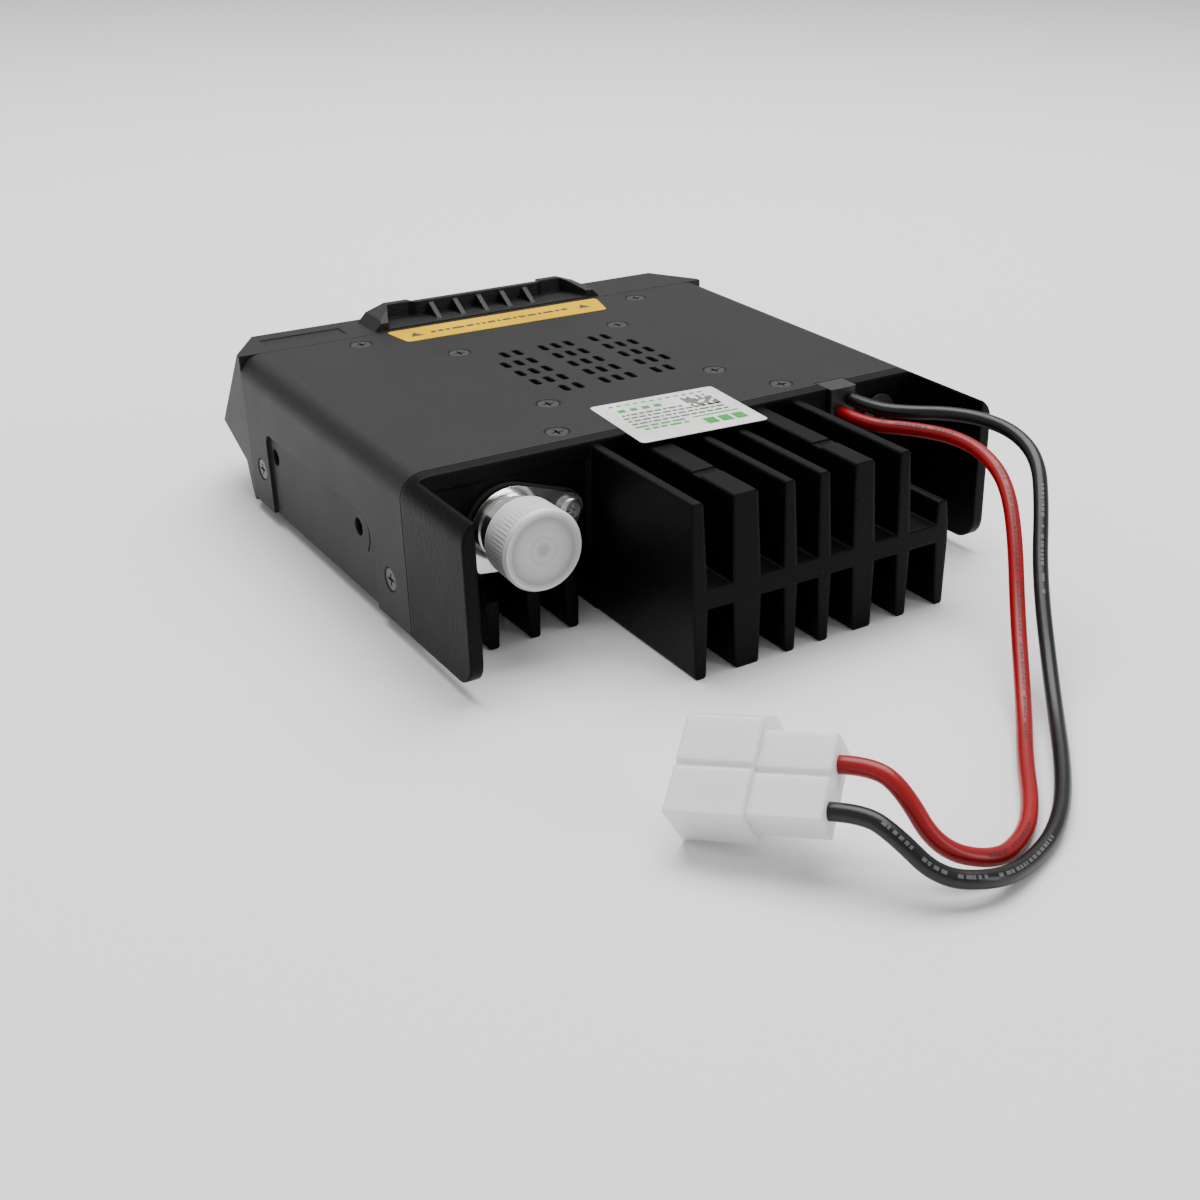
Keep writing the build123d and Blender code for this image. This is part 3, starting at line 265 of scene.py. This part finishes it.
def coat(name, colour, rough, grain, depth, edge, fleck=None, spec=0.5):
    mat = bpy.data.materials.new(name)
    mat.use_nodes = True
    tree = mat.node_tree
    face = tree.nodes["Principled BSDF"]
    face.inputs["Specular IOR Level"].default_value = spec
    place = tree.nodes.new("ShaderNodeTexCoord")
    cloud = tree.nodes.new("ShaderNodeTexNoise")
    cloud.inputs["Scale"].default_value = 70
    cloud.inputs["Detail"].default_value = 6
    tree.links.new(place.outputs["Object"], cloud.inputs["Vector"])
    tone = tree.nodes.new("ShaderNodeValToRGB")
    tone.color_ramp.elements[0].position = 0.3
    tone.color_ramp.elements[0].color = (*[c * 0.85 for c in colour], 1)
    tone.color_ramp.elements[1].position = 0.7
    tone.color_ramp.elements[1].color = (*[c * 1.1 for c in colour], 1)
    tree.links.new(cloud.outputs["Fac"], tone.inputs["Fac"])
    colour_out = tone.outputs["Color"]
    if fleck:
        dots = tree.nodes.new("ShaderNodeTexVoronoi")
        dots.inputs["Scale"].default_value = fleck
        tree.links.new(place.outputs["Object"], dots.inputs["Vector"])
        mask = tree.nodes.new("ShaderNodeValToRGB")
        mask.color_ramp.elements[0].position = 0.03
        mask.color_ramp.elements[0].color = (1, 1, 1, 1)
        mask.color_ramp.elements[1].position = 0.09
        mask.color_ramp.elements[1].color = (0, 0, 0, 1)
        tree.links.new(dots.outputs["Distance"], mask.inputs["Fac"])
        blend = tree.nodes.new("ShaderNodeMix")
        blend.data_type = "RGBA"
        blend.inputs["B"].default_value = (*[min(1, c * 3 + 0.02) for c in colour], 1)
        tree.links.new(mask.outputs["Color"], blend.inputs["Factor"])
        tree.links.new(colour_out, blend.inputs["A"])
        colour_out = blend.outputs["Result"]
    tree.links.new(colour_out, face.inputs["Base Color"])
    spread = tree.nodes.new("ShaderNodeMapRange")
    spread.inputs["To Min"].default_value = rough - 0.05
    spread.inputs["To Max"].default_value = rough + 0.07
    tree.links.new(cloud.outputs["Fac"], spread.inputs["Value"])
    tree.links.new(spread.outputs["Result"], face.inputs["Roughness"])
    peel = tree.nodes.new("ShaderNodeTexNoise")
    peel.inputs["Scale"].default_value = grain
    peel.inputs["Detail"].default_value = 4
    tree.links.new(place.outputs["Object"], peel.inputs["Vector"])
    bump = tree.nodes.new("ShaderNodeBump")
    bump.inputs["Strength"].default_value = 0.5
    bump.inputs["Distance"].default_value = depth
    tree.links.new(peel.outputs["Fac"], bump.inputs["Height"])
    soft = tree.nodes.new("ShaderNodeBevel")
    soft.samples = 6
    soft.inputs["Radius"].default_value = edge
    tree.links.new(soft.outputs["Normal"], bump.inputs["Normal"])
    tree.links.new(bump.outputs["Normal"], face.inputs["Normal"])
    return mat


def dress(names, mat):
    for name in names:
        mesh = nodes[name].data
        mesh.materials.clear()
        mesh.materials.append(mat)


cast_coat = coat(
    "black_die_casting", (0.002, 0.002, 0.0022), 0.42, 900, 0.00015, 0.0011, fleck=420, spec=0.08
)
dress(["chassis"], cast_coat)

# Top cover: pressed steel sheet in charcoal powder coat with a fine even texture.
# It folds down over both sides of the casting, and its edges are slightly rounded by the coat.
powder_coat = coat("charcoal_powder_coat", (0.012, 0.012, 0.0123), 0.5, 2600, 0.00025, 0.0006, spec=0.2)
dress(["top_cover"], powder_coat)

# Cover screws: countersunk steel with a black oxide finish.
# They hold the cover to the casting from the top and from both sides.
black_oxide = coat("black_oxide", (0.02, 0.02, 0.021), 0.35, 1800, 0.00005, 0.0002)
dress(["cover_screws", "side_screws"], black_oxide)

# Front panel and hood: dark moulded plastic with a fine spark-eroded grain.
# The dials, keys, sockets and lead clamp are smoother mouldings in their own shades.
panel_skin = coat("grained_plastic", (0.007, 0.007, 0.0075), 0.46, 1500, 0.0003, 0.0005, spec=0.25)
knob_skin = coat("knob_plastic", (0.016, 0.016, 0.018), 0.55, 1700, 0.0001, 0.0002)
key_skin = coat("key_plastic", (0.035, 0.036, 0.04), 0.4, 1900, 0.00005, 0.0002)
socket_skin = coat("socket_plastic", (0.012, 0.012, 0.013), 0.4, 1500, 0.00005, 0.0003)
dress(["front_panel"], panel_skin)
dress(["volume_knob", "channel_knob"], knob_skin)
dress([f"key_{i}" for i in range(1, 7)], key_skin)
dress(["mic_socket", "speaker_jack", "lead_clamp"], socket_skin)


# Antenna socket: bright nickel plated brass, screwed to the rear wall by its flange.
# The other bare metal parts are plated steel, gold on brass for the contacts, and aluminium cans.
def plate(name, colour, rough, edge):
    mat = bpy.data.materials.new(name)
    mat.use_nodes = True
    tree = mat.node_tree
    face = tree.nodes["Principled BSDF"]
    face.inputs["Metallic"].default_value = 1
    place = tree.nodes.new("ShaderNodeTexCoord")
    cloud = tree.nodes.new("ShaderNodeTexNoise")
    cloud.inputs["Scale"].default_value = 260
    cloud.inputs["Detail"].default_value = 5
    tree.links.new(place.outputs["Object"], cloud.inputs["Vector"])
    tone = tree.nodes.new("ShaderNodeValToRGB")
    tone.color_ramp.elements[0].position = 0.3
    tone.color_ramp.elements[0].color = (*[c * 0.8 for c in colour], 1)
    tone.color_ramp.elements[1].position = 0.7
    tone.color_ramp.elements[1].color = (*colour, 1)
    tree.links.new(cloud.outputs["Fac"], tone.inputs["Fac"])
    tree.links.new(tone.outputs["Color"], face.inputs["Base Color"])
    spread = tree.nodes.new("ShaderNodeMapRange")
    spread.inputs["To Min"].default_value = max(0.02, rough - 0.04)
    spread.inputs["To Max"].default_value = rough + 0.08
    tree.links.new(cloud.outputs["Fac"], spread.inputs["Value"])
    tree.links.new(spread.outputs["Result"], face.inputs["Roughness"])
    soft = tree.nodes.new("ShaderNodeBevel")
    soft.samples = 4
    soft.inputs["Radius"].default_value = edge
    tree.links.new(soft.outputs["Normal"], face.inputs["Normal"])
    return mat


dress(["antenna_socket"], plate("bright_nickel", (0.80, 0.79, 0.77), 0.12, 0.0001))
steel_parts = [
    "socket_screws", "board_screws", "volume_shaft",
    "channel_shaft", "speaker_frame", "shield_can",
]
dress(steel_parts, plate("plated_steel", (0.58, 0.58, 0.60), 0.3, 0.0001))
contact_parts = ["socket_contact", "mic_contacts", "plug_terminals"]
dress(contact_parts, plate("gold_brass", (0.82, 0.62, 0.28), 0.22, 0.0001))
dress(["capacitors"], plate("can_aluminium", (0.75, 0.76, 0.78), 0.3, 0.0002))


# Dust cap and plug housing: milky plastics that let some light through.
# The cap is a soft push-on moulding with a ribbed collar, and the housing is stiffer nylon.
def milky(name, colour, rough, depth, scatter, clear, edge):
    mat = bpy.data.materials.new(name)
    mat.use_nodes = True
    tree = mat.node_tree
    face = tree.nodes["Principled BSDF"]
    face.inputs["Base Color"].default_value = (*colour, 1)
    face.inputs["IOR"].default_value = 1.5
    face.inputs["Subsurface Weight"].default_value = scatter
    face.inputs["Subsurface Radius"].default_value = (1, 1, 1)
    face.inputs["Subsurface Scale"].default_value = depth
    face.inputs["Transmission Weight"].default_value = clear
    place = tree.nodes.new("ShaderNodeTexCoord")
    cloud = tree.nodes.new("ShaderNodeTexNoise")
    cloud.inputs["Scale"].default_value = 120
    cloud.inputs["Detail"].default_value = 5
    tree.links.new(place.outputs["Object"], cloud.inputs["Vector"])
    spread = tree.nodes.new("ShaderNodeMapRange")
    spread.inputs["To Min"].default_value = rough - 0.08
    spread.inputs["To Max"].default_value = rough + 0.1
    tree.links.new(cloud.outputs["Fac"], spread.inputs["Value"])
    tree.links.new(spread.outputs["Result"], face.inputs["Roughness"])
    bump = tree.nodes.new("ShaderNodeBump")
    bump.inputs["Strength"].default_value = 0.25
    bump.inputs["Distance"].default_value = 0.0003
    tree.links.new(cloud.outputs["Fac"], bump.inputs["Height"])
    soft = tree.nodes.new("ShaderNodeBevel")
    soft.samples = 6
    soft.inputs["Radius"].default_value = edge
    tree.links.new(soft.outputs["Normal"], bump.inputs["Normal"])
    tree.links.new(bump.outputs["Normal"], face.inputs["Normal"])
    return mat


# Painted shade: the socket's dark centre, seen through the cap's end, is painted into the cap's colour as a
# soft dark spot, with a paler painted ring round it, and its thread, seen through the collar, is painted as
# faint dark bands.
cap_skin = milky("milky_cap_plastic", (0.76, 0.77, 0.77), 0.36, 0.003, 0.6, 0.1, 0.0004)
cap_tree = cap_skin.node_tree
cap_face = cap_tree.nodes["Principled BSDF"]
cap_place = cap_tree.nodes.new("ShaderNodeTexCoord")
axis_place = cap_tree.nodes.new("ShaderNodeMapping")
axis_place.inputs["Location"].default_value = (-0.0483, 0, -0.0266)
cap_tree.links.new(cap_place.outputs["Object"], axis_place.inputs["Vector"])
flat_place = cap_tree.nodes.new("ShaderNodeVectorMath")
flat_place.operation = "MULTIPLY"
flat_place.inputs[1].default_value = (1, 0, 1)
cap_tree.links.new(axis_place.outputs["Vector"], flat_place.inputs[0])
reach = cap_tree.nodes.new("ShaderNodeVectorMath")
reach.operation = "LENGTH"
cap_tree.links.new(flat_place.outputs["Vector"], reach.inputs[0])
centre_shade_share = cap_tree.nodes.new("ShaderNodeMapRange")
centre_shade_share.inputs["From Max"].default_value = 0.0096
cap_tree.links.new(reach.outputs["Value"], centre_shade_share.inputs["Value"])
# Painted shade of the socket through the cap's end: dark in the middle, paler outwards in rings.
rings = cap_tree.nodes.new("ShaderNodeValToRGB")
rings.color_ramp.elements[0].position = 0.10
rings.color_ramp.elements[0].color = (0.46, 0.465, 0.47, 1)
rings.color_ramp.elements[1].position = 1.0
rings.color_ramp.elements[1].color = (0.80, 0.81, 0.82, 1)
for at, tone in ((0.24, 0.66), (0.42, 0.78), (0.62, 0.70), (0.74, 0.54), (0.86, 0.58), (0.93, 0.84)):
    ring = rings.color_ramp.elements.new(at)
    ring.color = (tone, tone * 1.01, tone * 1.02, 1)
cap_tree.links.new(centre_shade_share.outputs["Result"], rings.inputs["Fac"])
# Painted shade of the thread through the collar: faint darker bands along Y.
bands = cap_tree.nodes.new("ShaderNodeTexWave")
bands.bands_direction = "Y"
bands.inputs["Scale"].default_value = 296
bands.inputs["Distortion"].default_value = 0.4
cap_tree.links.new(cap_place.outputs["Object"], bands.inputs["Vector"])
thread_shade_tone = cap_tree.nodes.new("ShaderNodeValToRGB")
thread_shade_tone.color_ramp.elements[0].color = (0.66, 0.66, 0.66, 1)
thread_shade_tone.color_ramp.elements[1].color = (1, 1, 1, 1)
cap_tree.links.new(bands.outputs["Fac"], thread_shade_tone.inputs["Fac"])
# The painted centre shade and the painted thread bands, multiplied together, give the cap's base colour.
collar = cap_tree.nodes.new("ShaderNodeMix")
collar.data_type = "RGBA"
collar.blend_type = "MULTIPLY"
collar.inputs["Factor"].default_value = 0.8
cap_tree.links.new(rings.outputs["Color"], collar.inputs["A"])
cap_tree.links.new(thread_shade_tone.outputs["Color"], collar.inputs["B"])
cap_tree.links.new(collar.outputs["Result"], cap_face.inputs["Base Color"])
dress(["dust_cap"], cap_skin)
nylon_skin = milky("milky_nylon", (0.82, 0.82, 0.83), 0.42, 0.004, 0.6, 0.1, 0.0006)
dress(["plug_housing"], nylon_skin)

# White insulator, gasket and the inner parts: boards, their components and the speaker.
# They show only where the panel, the slots and the sockets are open.
insulator_skin = coat("white_insulator", (0.78, 0.77, 0.74), 0.4, 900, 0.00005, 0.0001)
board_skin = coat("green_board", (0.012, 0.09, 0.035), 0.35, 500, 0.00005, 0.0001)
epoxy_parts = [
    "chips", "power_module", "volume_pot",
    "channel_encoder", "key_switches", "board_headers",
]
dress(["socket_insulator", "channel_plunger"], insulator_skin)
dress(["socket_gasket"], coat("black_rubber", (0.012, 0.012, 0.012), 0.8, 900, 0.0001, 0.0001))
dress(["main_board", "front_board"], board_skin)
dress(epoxy_parts, coat("moulded_epoxy", (0.018, 0.018, 0.018), 0.5, 1400, 0.00005, 0.0001))
dress(["ribbon"], coat("grey_ribbon", (0.42, 0.43, 0.45), 0.5, 700, 0.00005, 0.0001))
dress(["speaker_magnet"], coat("dark_ferrite", (0.03, 0.03, 0.032), 0.6, 700, 0.0001, 0.0002))
dress(["speaker_cone"], coat("black_paper", (0.014, 0.013, 0.012), 0.9, 1200, 0.0002, 0.0001))
dress(["speaker_cloth"], coat("black_cloth", (0.006, 0.006, 0.006), 0.95, 2600, 0.0003, 0.0001))

# Display: a smoked clear window over a dim amber panel.
# The window is glossy moulded acrylic, set flush in its recess in the sloping face.
smoke = bpy.data.materials.new("smoked_window")
smoke.use_nodes = True
smoke_face = smoke.node_tree.nodes["Principled BSDF"]
smoke_face.inputs["Base Color"].default_value = (0.10, 0.10, 0.11, 1)
smoke_face.inputs["Roughness"].default_value = 0.08
smoke_face.inputs["Transmission Weight"].default_value = 0.6
smoke_face.inputs["IOR"].default_value = 1.5
dress(["display_window"], smoke)
dress(["display_module"], coat("dim_amber_panel", (0.22, 0.13, 0.03), 0.3, 500, 0.00002, 0.0001))

# Labels: printed film stuck to the cover, an amber strip behind the hood and a white plate at the rear
# edge, both with a faint satin surface.
dress(["caution_label"], coat("amber_film", (0.70, 0.41, 0.0), 0.5, 900, 0.00003, 0.0001, spec=0.05))
dress(["plate_label"], coat("white_film", (0.72, 0.74, 0.70), 0.45, 900, 0.00003, 0.0001, spec=0.3))

# Print on the labels: thin ink that says nothing, as rows of plain bars, a block of random squares and
# two plain triangles. Each mark is a closed film a few hundredths of a millimetre thick.
ink_low = 0.042254
ink_high = 0.042276


def print_marks(name, outlines, colour):
    mesh = bpy.data.meshes.new(name)
    made = bmesh.new()
    for outline in outlines:
        low = [made.verts.new((x / 1000, y / 1000, ink_low)) for x, y in outline]
        high = [made.verts.new((x / 1000, y / 1000, ink_high)) for x, y in outline]
        made.faces.new(high)
        made.faces.new(low[::-1])
        for i in range(len(low)):
            j = (i + 1) % len(low)
            made.faces.new((low[i], low[j], high[j], high[i]))
    bmesh.ops.recalc_face_normals(made, faces=made.faces)
    made.to_mesh(mesh)
    made.free()
    ink = bpy.data.objects.new(name, mesh)
    bpy.context.scene.collection.objects.link(ink)
    mat = bpy.data.materials.new(name + "_ink")
    mat.use_nodes = True
    tree = mat.node_tree
    face = tree.nodes["Principled BSDF"]
    face.inputs["Roughness"].default_value = 0.5
    place = tree.nodes.new("ShaderNodeTexCoord")
    cloud = tree.nodes.new("ShaderNodeTexNoise")
    cloud.inputs["Scale"].default_value = 1500
    tree.links.new(place.outputs["Object"], cloud.inputs["Vector"])
    tone = tree.nodes.new("ShaderNodeValToRGB")
    tone.color_ramp.elements[0].color = (*[c * 0.8 for c in colour], 1)
    tone.color_ramp.elements[1].color = (*[min(1, c * 1.25) for c in colour], 1)
    tree.links.new(cloud.outputs["Fac"], tone.inputs["Fac"])
    tree.links.new(tone.outputs["Color"], face.inputs["Base Color"])
    mesh.materials.append(mat)
    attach(ink, "body")
    return ink


def bar(x, y, wide, deep, centre=(0, 0), turn=0.0):
    c, s = math.cos(turn), math.sin(turn)
    corners = ((x, y), (x + wide, y), (x + wide, y + deep), (x, y + deep))
    return [(centre[0] + c * u - s * v, centre[1] + s * u + c * v) for u, v in corners]


def bar_row(pick, x0, x1, y, deep, shortest, longest, space, centre=(0, 0), turn=0.0):
    bars = []
    x = x0
    while x < x1 - shortest:
        wide = min(pick.uniform(shortest, longest), x1 - x)
        bars.append(bar(x, y, wide, deep, centre, turn))
        x += wide + space
    return bars


pick = random.Random(7)
strip = bar_row(pick, -21.5, 20.5, -44.9, 1.5, 0.8, 4.2, 0.7)
for x in (-26.6, 25.0):
    strip.append([(x - 1.9, -42.6), (x + 1.9, -42.6), (x, -46.0)])
print_marks("strip_marks", strip, (0.05, 0.035, 0.01))

plate_at = ((0.1, 47.6), math.radians(-4))
green = [bar(-12.6 + 2.2 * i, -11.6, 1.2, 0.8, *plate_at) for i in range(12)]
green += [bar(x, -8.4, 1.9, 1.9, *plate_at) for x in (0.6, 3.8, 7.0, 10.2)]
for y in (3.6, 5.6):
    green += bar_row(pick, 0.5, 13.5, y, 1.1, 1.2, 3.4, 0.6, *plate_at)
green += [bar(x, 6.0, 3.0, 3.8, *plate_at) for x in (-13.6, -9.8, -6.0)]
green.append(bar(-14.0, 3.7, 12.2, 0.7, *plate_at))
print_marks("plate_green_marks", green, (0.008, 0.27, 0.03))
grey = []
for y in (-4.8, -2.7, -0.6, 1.5):
    grey += bar_row(pick, -3.5 if y < -3 else -12.5, 13.2, y, 1.0, 0.6, 2.6, 0.45, *plate_at)
for i in range(9):
    for j in range(9):
        if pick.random() < 0.55:
            grey.append(bar(-13.0 + 0.86 * i, -9.4 + 0.86 * j, 0.78, 0.78, *plate_at))
print_marks("plate_grey_marks", grey, (0.09, 0.10, 0.09))

# Print on the sloping face: thin pale ink laid on the panel's own slope, in millimetres along it and
# out of it from its top edge. Here it is a short bar over each key.
slope_up = Vector((0, 0.622515, 0.782608))
slope_out = Vector((0, -0.782608, 0.622515))
slope_top = Vector((0, -66.8, 42.1))
slope_ink_low = 0.003
slope_ink_high = 0.025
pale_ink = bpy.data.materials.new("pale_ink")
pale_ink.use_nodes = True
pale_tree = pale_ink.node_tree
pale_place = pale_tree.nodes.new("ShaderNodeTexCoord")
pale_cloud = pale_tree.nodes.new("ShaderNodeTexNoise")
pale_cloud.inputs["Scale"].default_value = 1500
pale_tree.links.new(pale_place.outputs["Object"], pale_cloud.inputs["Vector"])
pale_tone = pale_tree.nodes.new("ShaderNodeValToRGB")
pale_tone.color_ramp.elements[0].color = (0.42, 0.43, 0.44, 1)
pale_tone.color_ramp.elements[1].color = (0.60, 0.61, 0.62, 1)
pale_tree.links.new(pale_cloud.outputs["Fac"], pale_tone.inputs["Fac"])
pale_tree.links.new(pale_tone.outputs["Color"], pale_tree.nodes["Principled BSDF"].inputs["Base Color"])
pale_tree.nodes["Principled BSDF"].inputs["Roughness"].default_value = 0.5


def slope_marks(name, outlines):
    mesh = bpy.data.meshes.new(name)
    made = bmesh.new()
    for outline in outlines:
        rings = []
        for lift in (slope_ink_low, slope_ink_high):
            rings.append([
                made.verts.new((slope_top + Vector((x, 0, 0)) + slope_up * v + slope_out * lift) / 1000)
                for x, v in outline
            ])
        made.faces.new(rings[1])
        made.faces.new(rings[0][::-1])
        for i in range(len(outline)):
            j = (i + 1) % len(outline)
            made.faces.new((rings[0][i], rings[0][j], rings[1][j], rings[1][i]))
    bmesh.ops.recalc_face_normals(made, faces=made.faces)
    made.to_mesh(mesh)
    made.free()
    ink = bpy.data.objects.new(name, mesh)
    bpy.context.scene.collection.objects.link(ink)
    mesh.materials.append(pale_ink)
    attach(ink, "body")


first_key_x = -17
key_pitch = 10
bar_half = 1.6
bar_low = -18.4
bar_high = -18.0
key_bars = []
for i in range(6):
    x = first_key_x + key_pitch * i
    key_bars.append([
        (x - bar_half, bar_low), (x + bar_half, bar_low), (x + bar_half, bar_high), (x - bar_half, bar_high),
    ])
slope_marks("key_bars", key_bars)

# Microphone well: a short moulded tube between the sloping panel's opening and the socket behind it.
# Its front end is cut to the slope, just under the panel's face, and its back stands on the socket.
socket_low, socket_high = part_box("mic_socket")
well_wall = 0.0012
well_sink = 0.0006
slope_run = slope_up.y / slope_up.z
well = bmesh.new()
well_rings = []
for inset in (0, well_wall):
    corners = [
        (socket_low[0] + inset, socket_low[2] + inset), (socket_high[0] - inset, socket_low[2] + inset),
        (socket_high[0] - inset, socket_high[2] - inset), (socket_low[0] + inset, socket_high[2] - inset),
    ]
    mouth_y = [(slope_top.y + (z * 1000 - slope_top.z) * slope_run) / 1000 + well_sink for x, z in corners]
    front = [well.verts.new((x, y, z)) for (x, z), y in zip(corners, mouth_y)]
    back = [well.verts.new((x, socket_low[1], z)) for x, z in corners]
    well_rings.append((front, back))
(outer_front, outer_back), (inner_front, inner_back) = well_rings
for ring_a, ring_b in (
    (outer_front, outer_back), (outer_back, inner_back),
    (inner_back, inner_front), (inner_front, outer_front),
):
    for i in range(4):
        j = (i + 1) % 4
        well.faces.new((ring_a[i], ring_a[j], ring_b[j], ring_b[i]))
bmesh.ops.recalc_face_normals(well, faces=well.faces)
well_mesh = bpy.data.meshes.new("mic_well")
well.to_mesh(well_mesh)
well.free()
well_mesh.materials.append(socket_skin)
mic_well = bpy.data.objects.new("mic_well", well_mesh)
bpy.context.scene.collection.objects.link(mic_well)
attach(mic_well, "body")

# Volume scale: eleven dots printed on an arc round the dial, from its low stop to its high one.
# One node tree lays a flat dot at each step of the arc and turns the arc onto the slope.
scale_tree = bpy.data.node_groups.new("dial_scale", "GeometryNodeTree")
scale_tree.interface.new_socket("Scale", in_out="OUTPUT", socket_type="NodeSocketGeometry")
scale_sockets = {}
for label, kind in (
    ("Dots", "NodeSocketInt"), ("Arc radius", "NodeSocketFloat"), ("Dot radius", "NodeSocketFloat"),
    ("Ink depth", "NodeSocketFloat"), ("Slope", "NodeSocketFloat"), ("Centre", "NodeSocketVector"),
    ("Ink", "NodeSocketMaterial"),
):
    scale_sockets[label] = scale_tree.interface.new_socket(label, in_out="INPUT", socket_type=kind).identifier
given = scale_tree.nodes.new("NodeGroupInput")
made = scale_tree.nodes.new("NodeGroupOutput")
arc = scale_tree.nodes.new("GeometryNodeCurveArc")
arc.inputs["Start Angle"].default_value = math.radians(-60)
arc.inputs["Sweep Angle"].default_value = math.radians(300)
dot = scale_tree.nodes.new("GeometryNodeMeshCylinder")
dot.inputs["Vertices"].default_value = 12
strew = scale_tree.nodes.new("GeometryNodeInstanceOnPoints")
turned = scale_tree.nodes.new("GeometryNodeTransform")
lean = scale_tree.nodes.new("ShaderNodeCombineXYZ")
solid = scale_tree.nodes.new("GeometryNodeRealizeInstances")
inked = scale_tree.nodes.new("GeometryNodeSetMaterial")
for source, socket, target, entry in (
    (given, "Dots", arc, "Resolution"), (given, "Arc radius", arc, "Radius"),
    (given, "Dot radius", dot, "Radius"), (given, "Ink depth", dot, "Depth"),
    (arc, "Curve", strew, "Points"), (dot, "Mesh", strew, "Instance"),
    (strew, "Instances", turned, "Geometry"), (given, "Slope", lean, "X"),
    (lean, "Vector", turned, "Rotation"), (given, "Centre", turned, "Translation"),
    (turned, "Geometry", solid, "Geometry"), (solid, "Geometry", inked, "Geometry"),
    (given, "Ink", inked, "Material"), (inked, "Geometry", made, "Scale"),
):
    scale_tree.links.new(source.outputs[socket], target.inputs[entry])
dial_x = -51
dial_v = -17.6
dot_lift = 0.014
dial_place = Vector((dial_x, 0, 0)) + slope_up * dial_v + slope_out * dot_lift
dial_centre = (slope_top + dial_place) / 1000
blank = bpy.data.objects.new("scale_blank", bpy.data.meshes.new("scale_blank"))
bpy.context.scene.collection.objects.link(blank)
stamp = blank.modifiers.new("scale", "NODES")
stamp.node_group = scale_tree
for label, value in (
    ("Dots", 11), ("Arc radius", 0.0077), ("Dot radius", 0.00035), ("Ink depth", 0.000022),
    ("Slope", math.radians(51.5)), ("Centre", dial_centre), ("Ink", pale_ink),
):
    stamp[scale_sockets[label]] = value
scale_mesh = bpy.data.meshes.new_from_object(blank.evaluated_get(bpy.context.evaluated_depsgraph_get()))
bpy.data.objects.remove(blank)
dial_scale = bpy.data.objects.new("dial_scale", scale_mesh)
bpy.context.scene.collection.objects.link(dial_scale)
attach(dial_scale, "body")
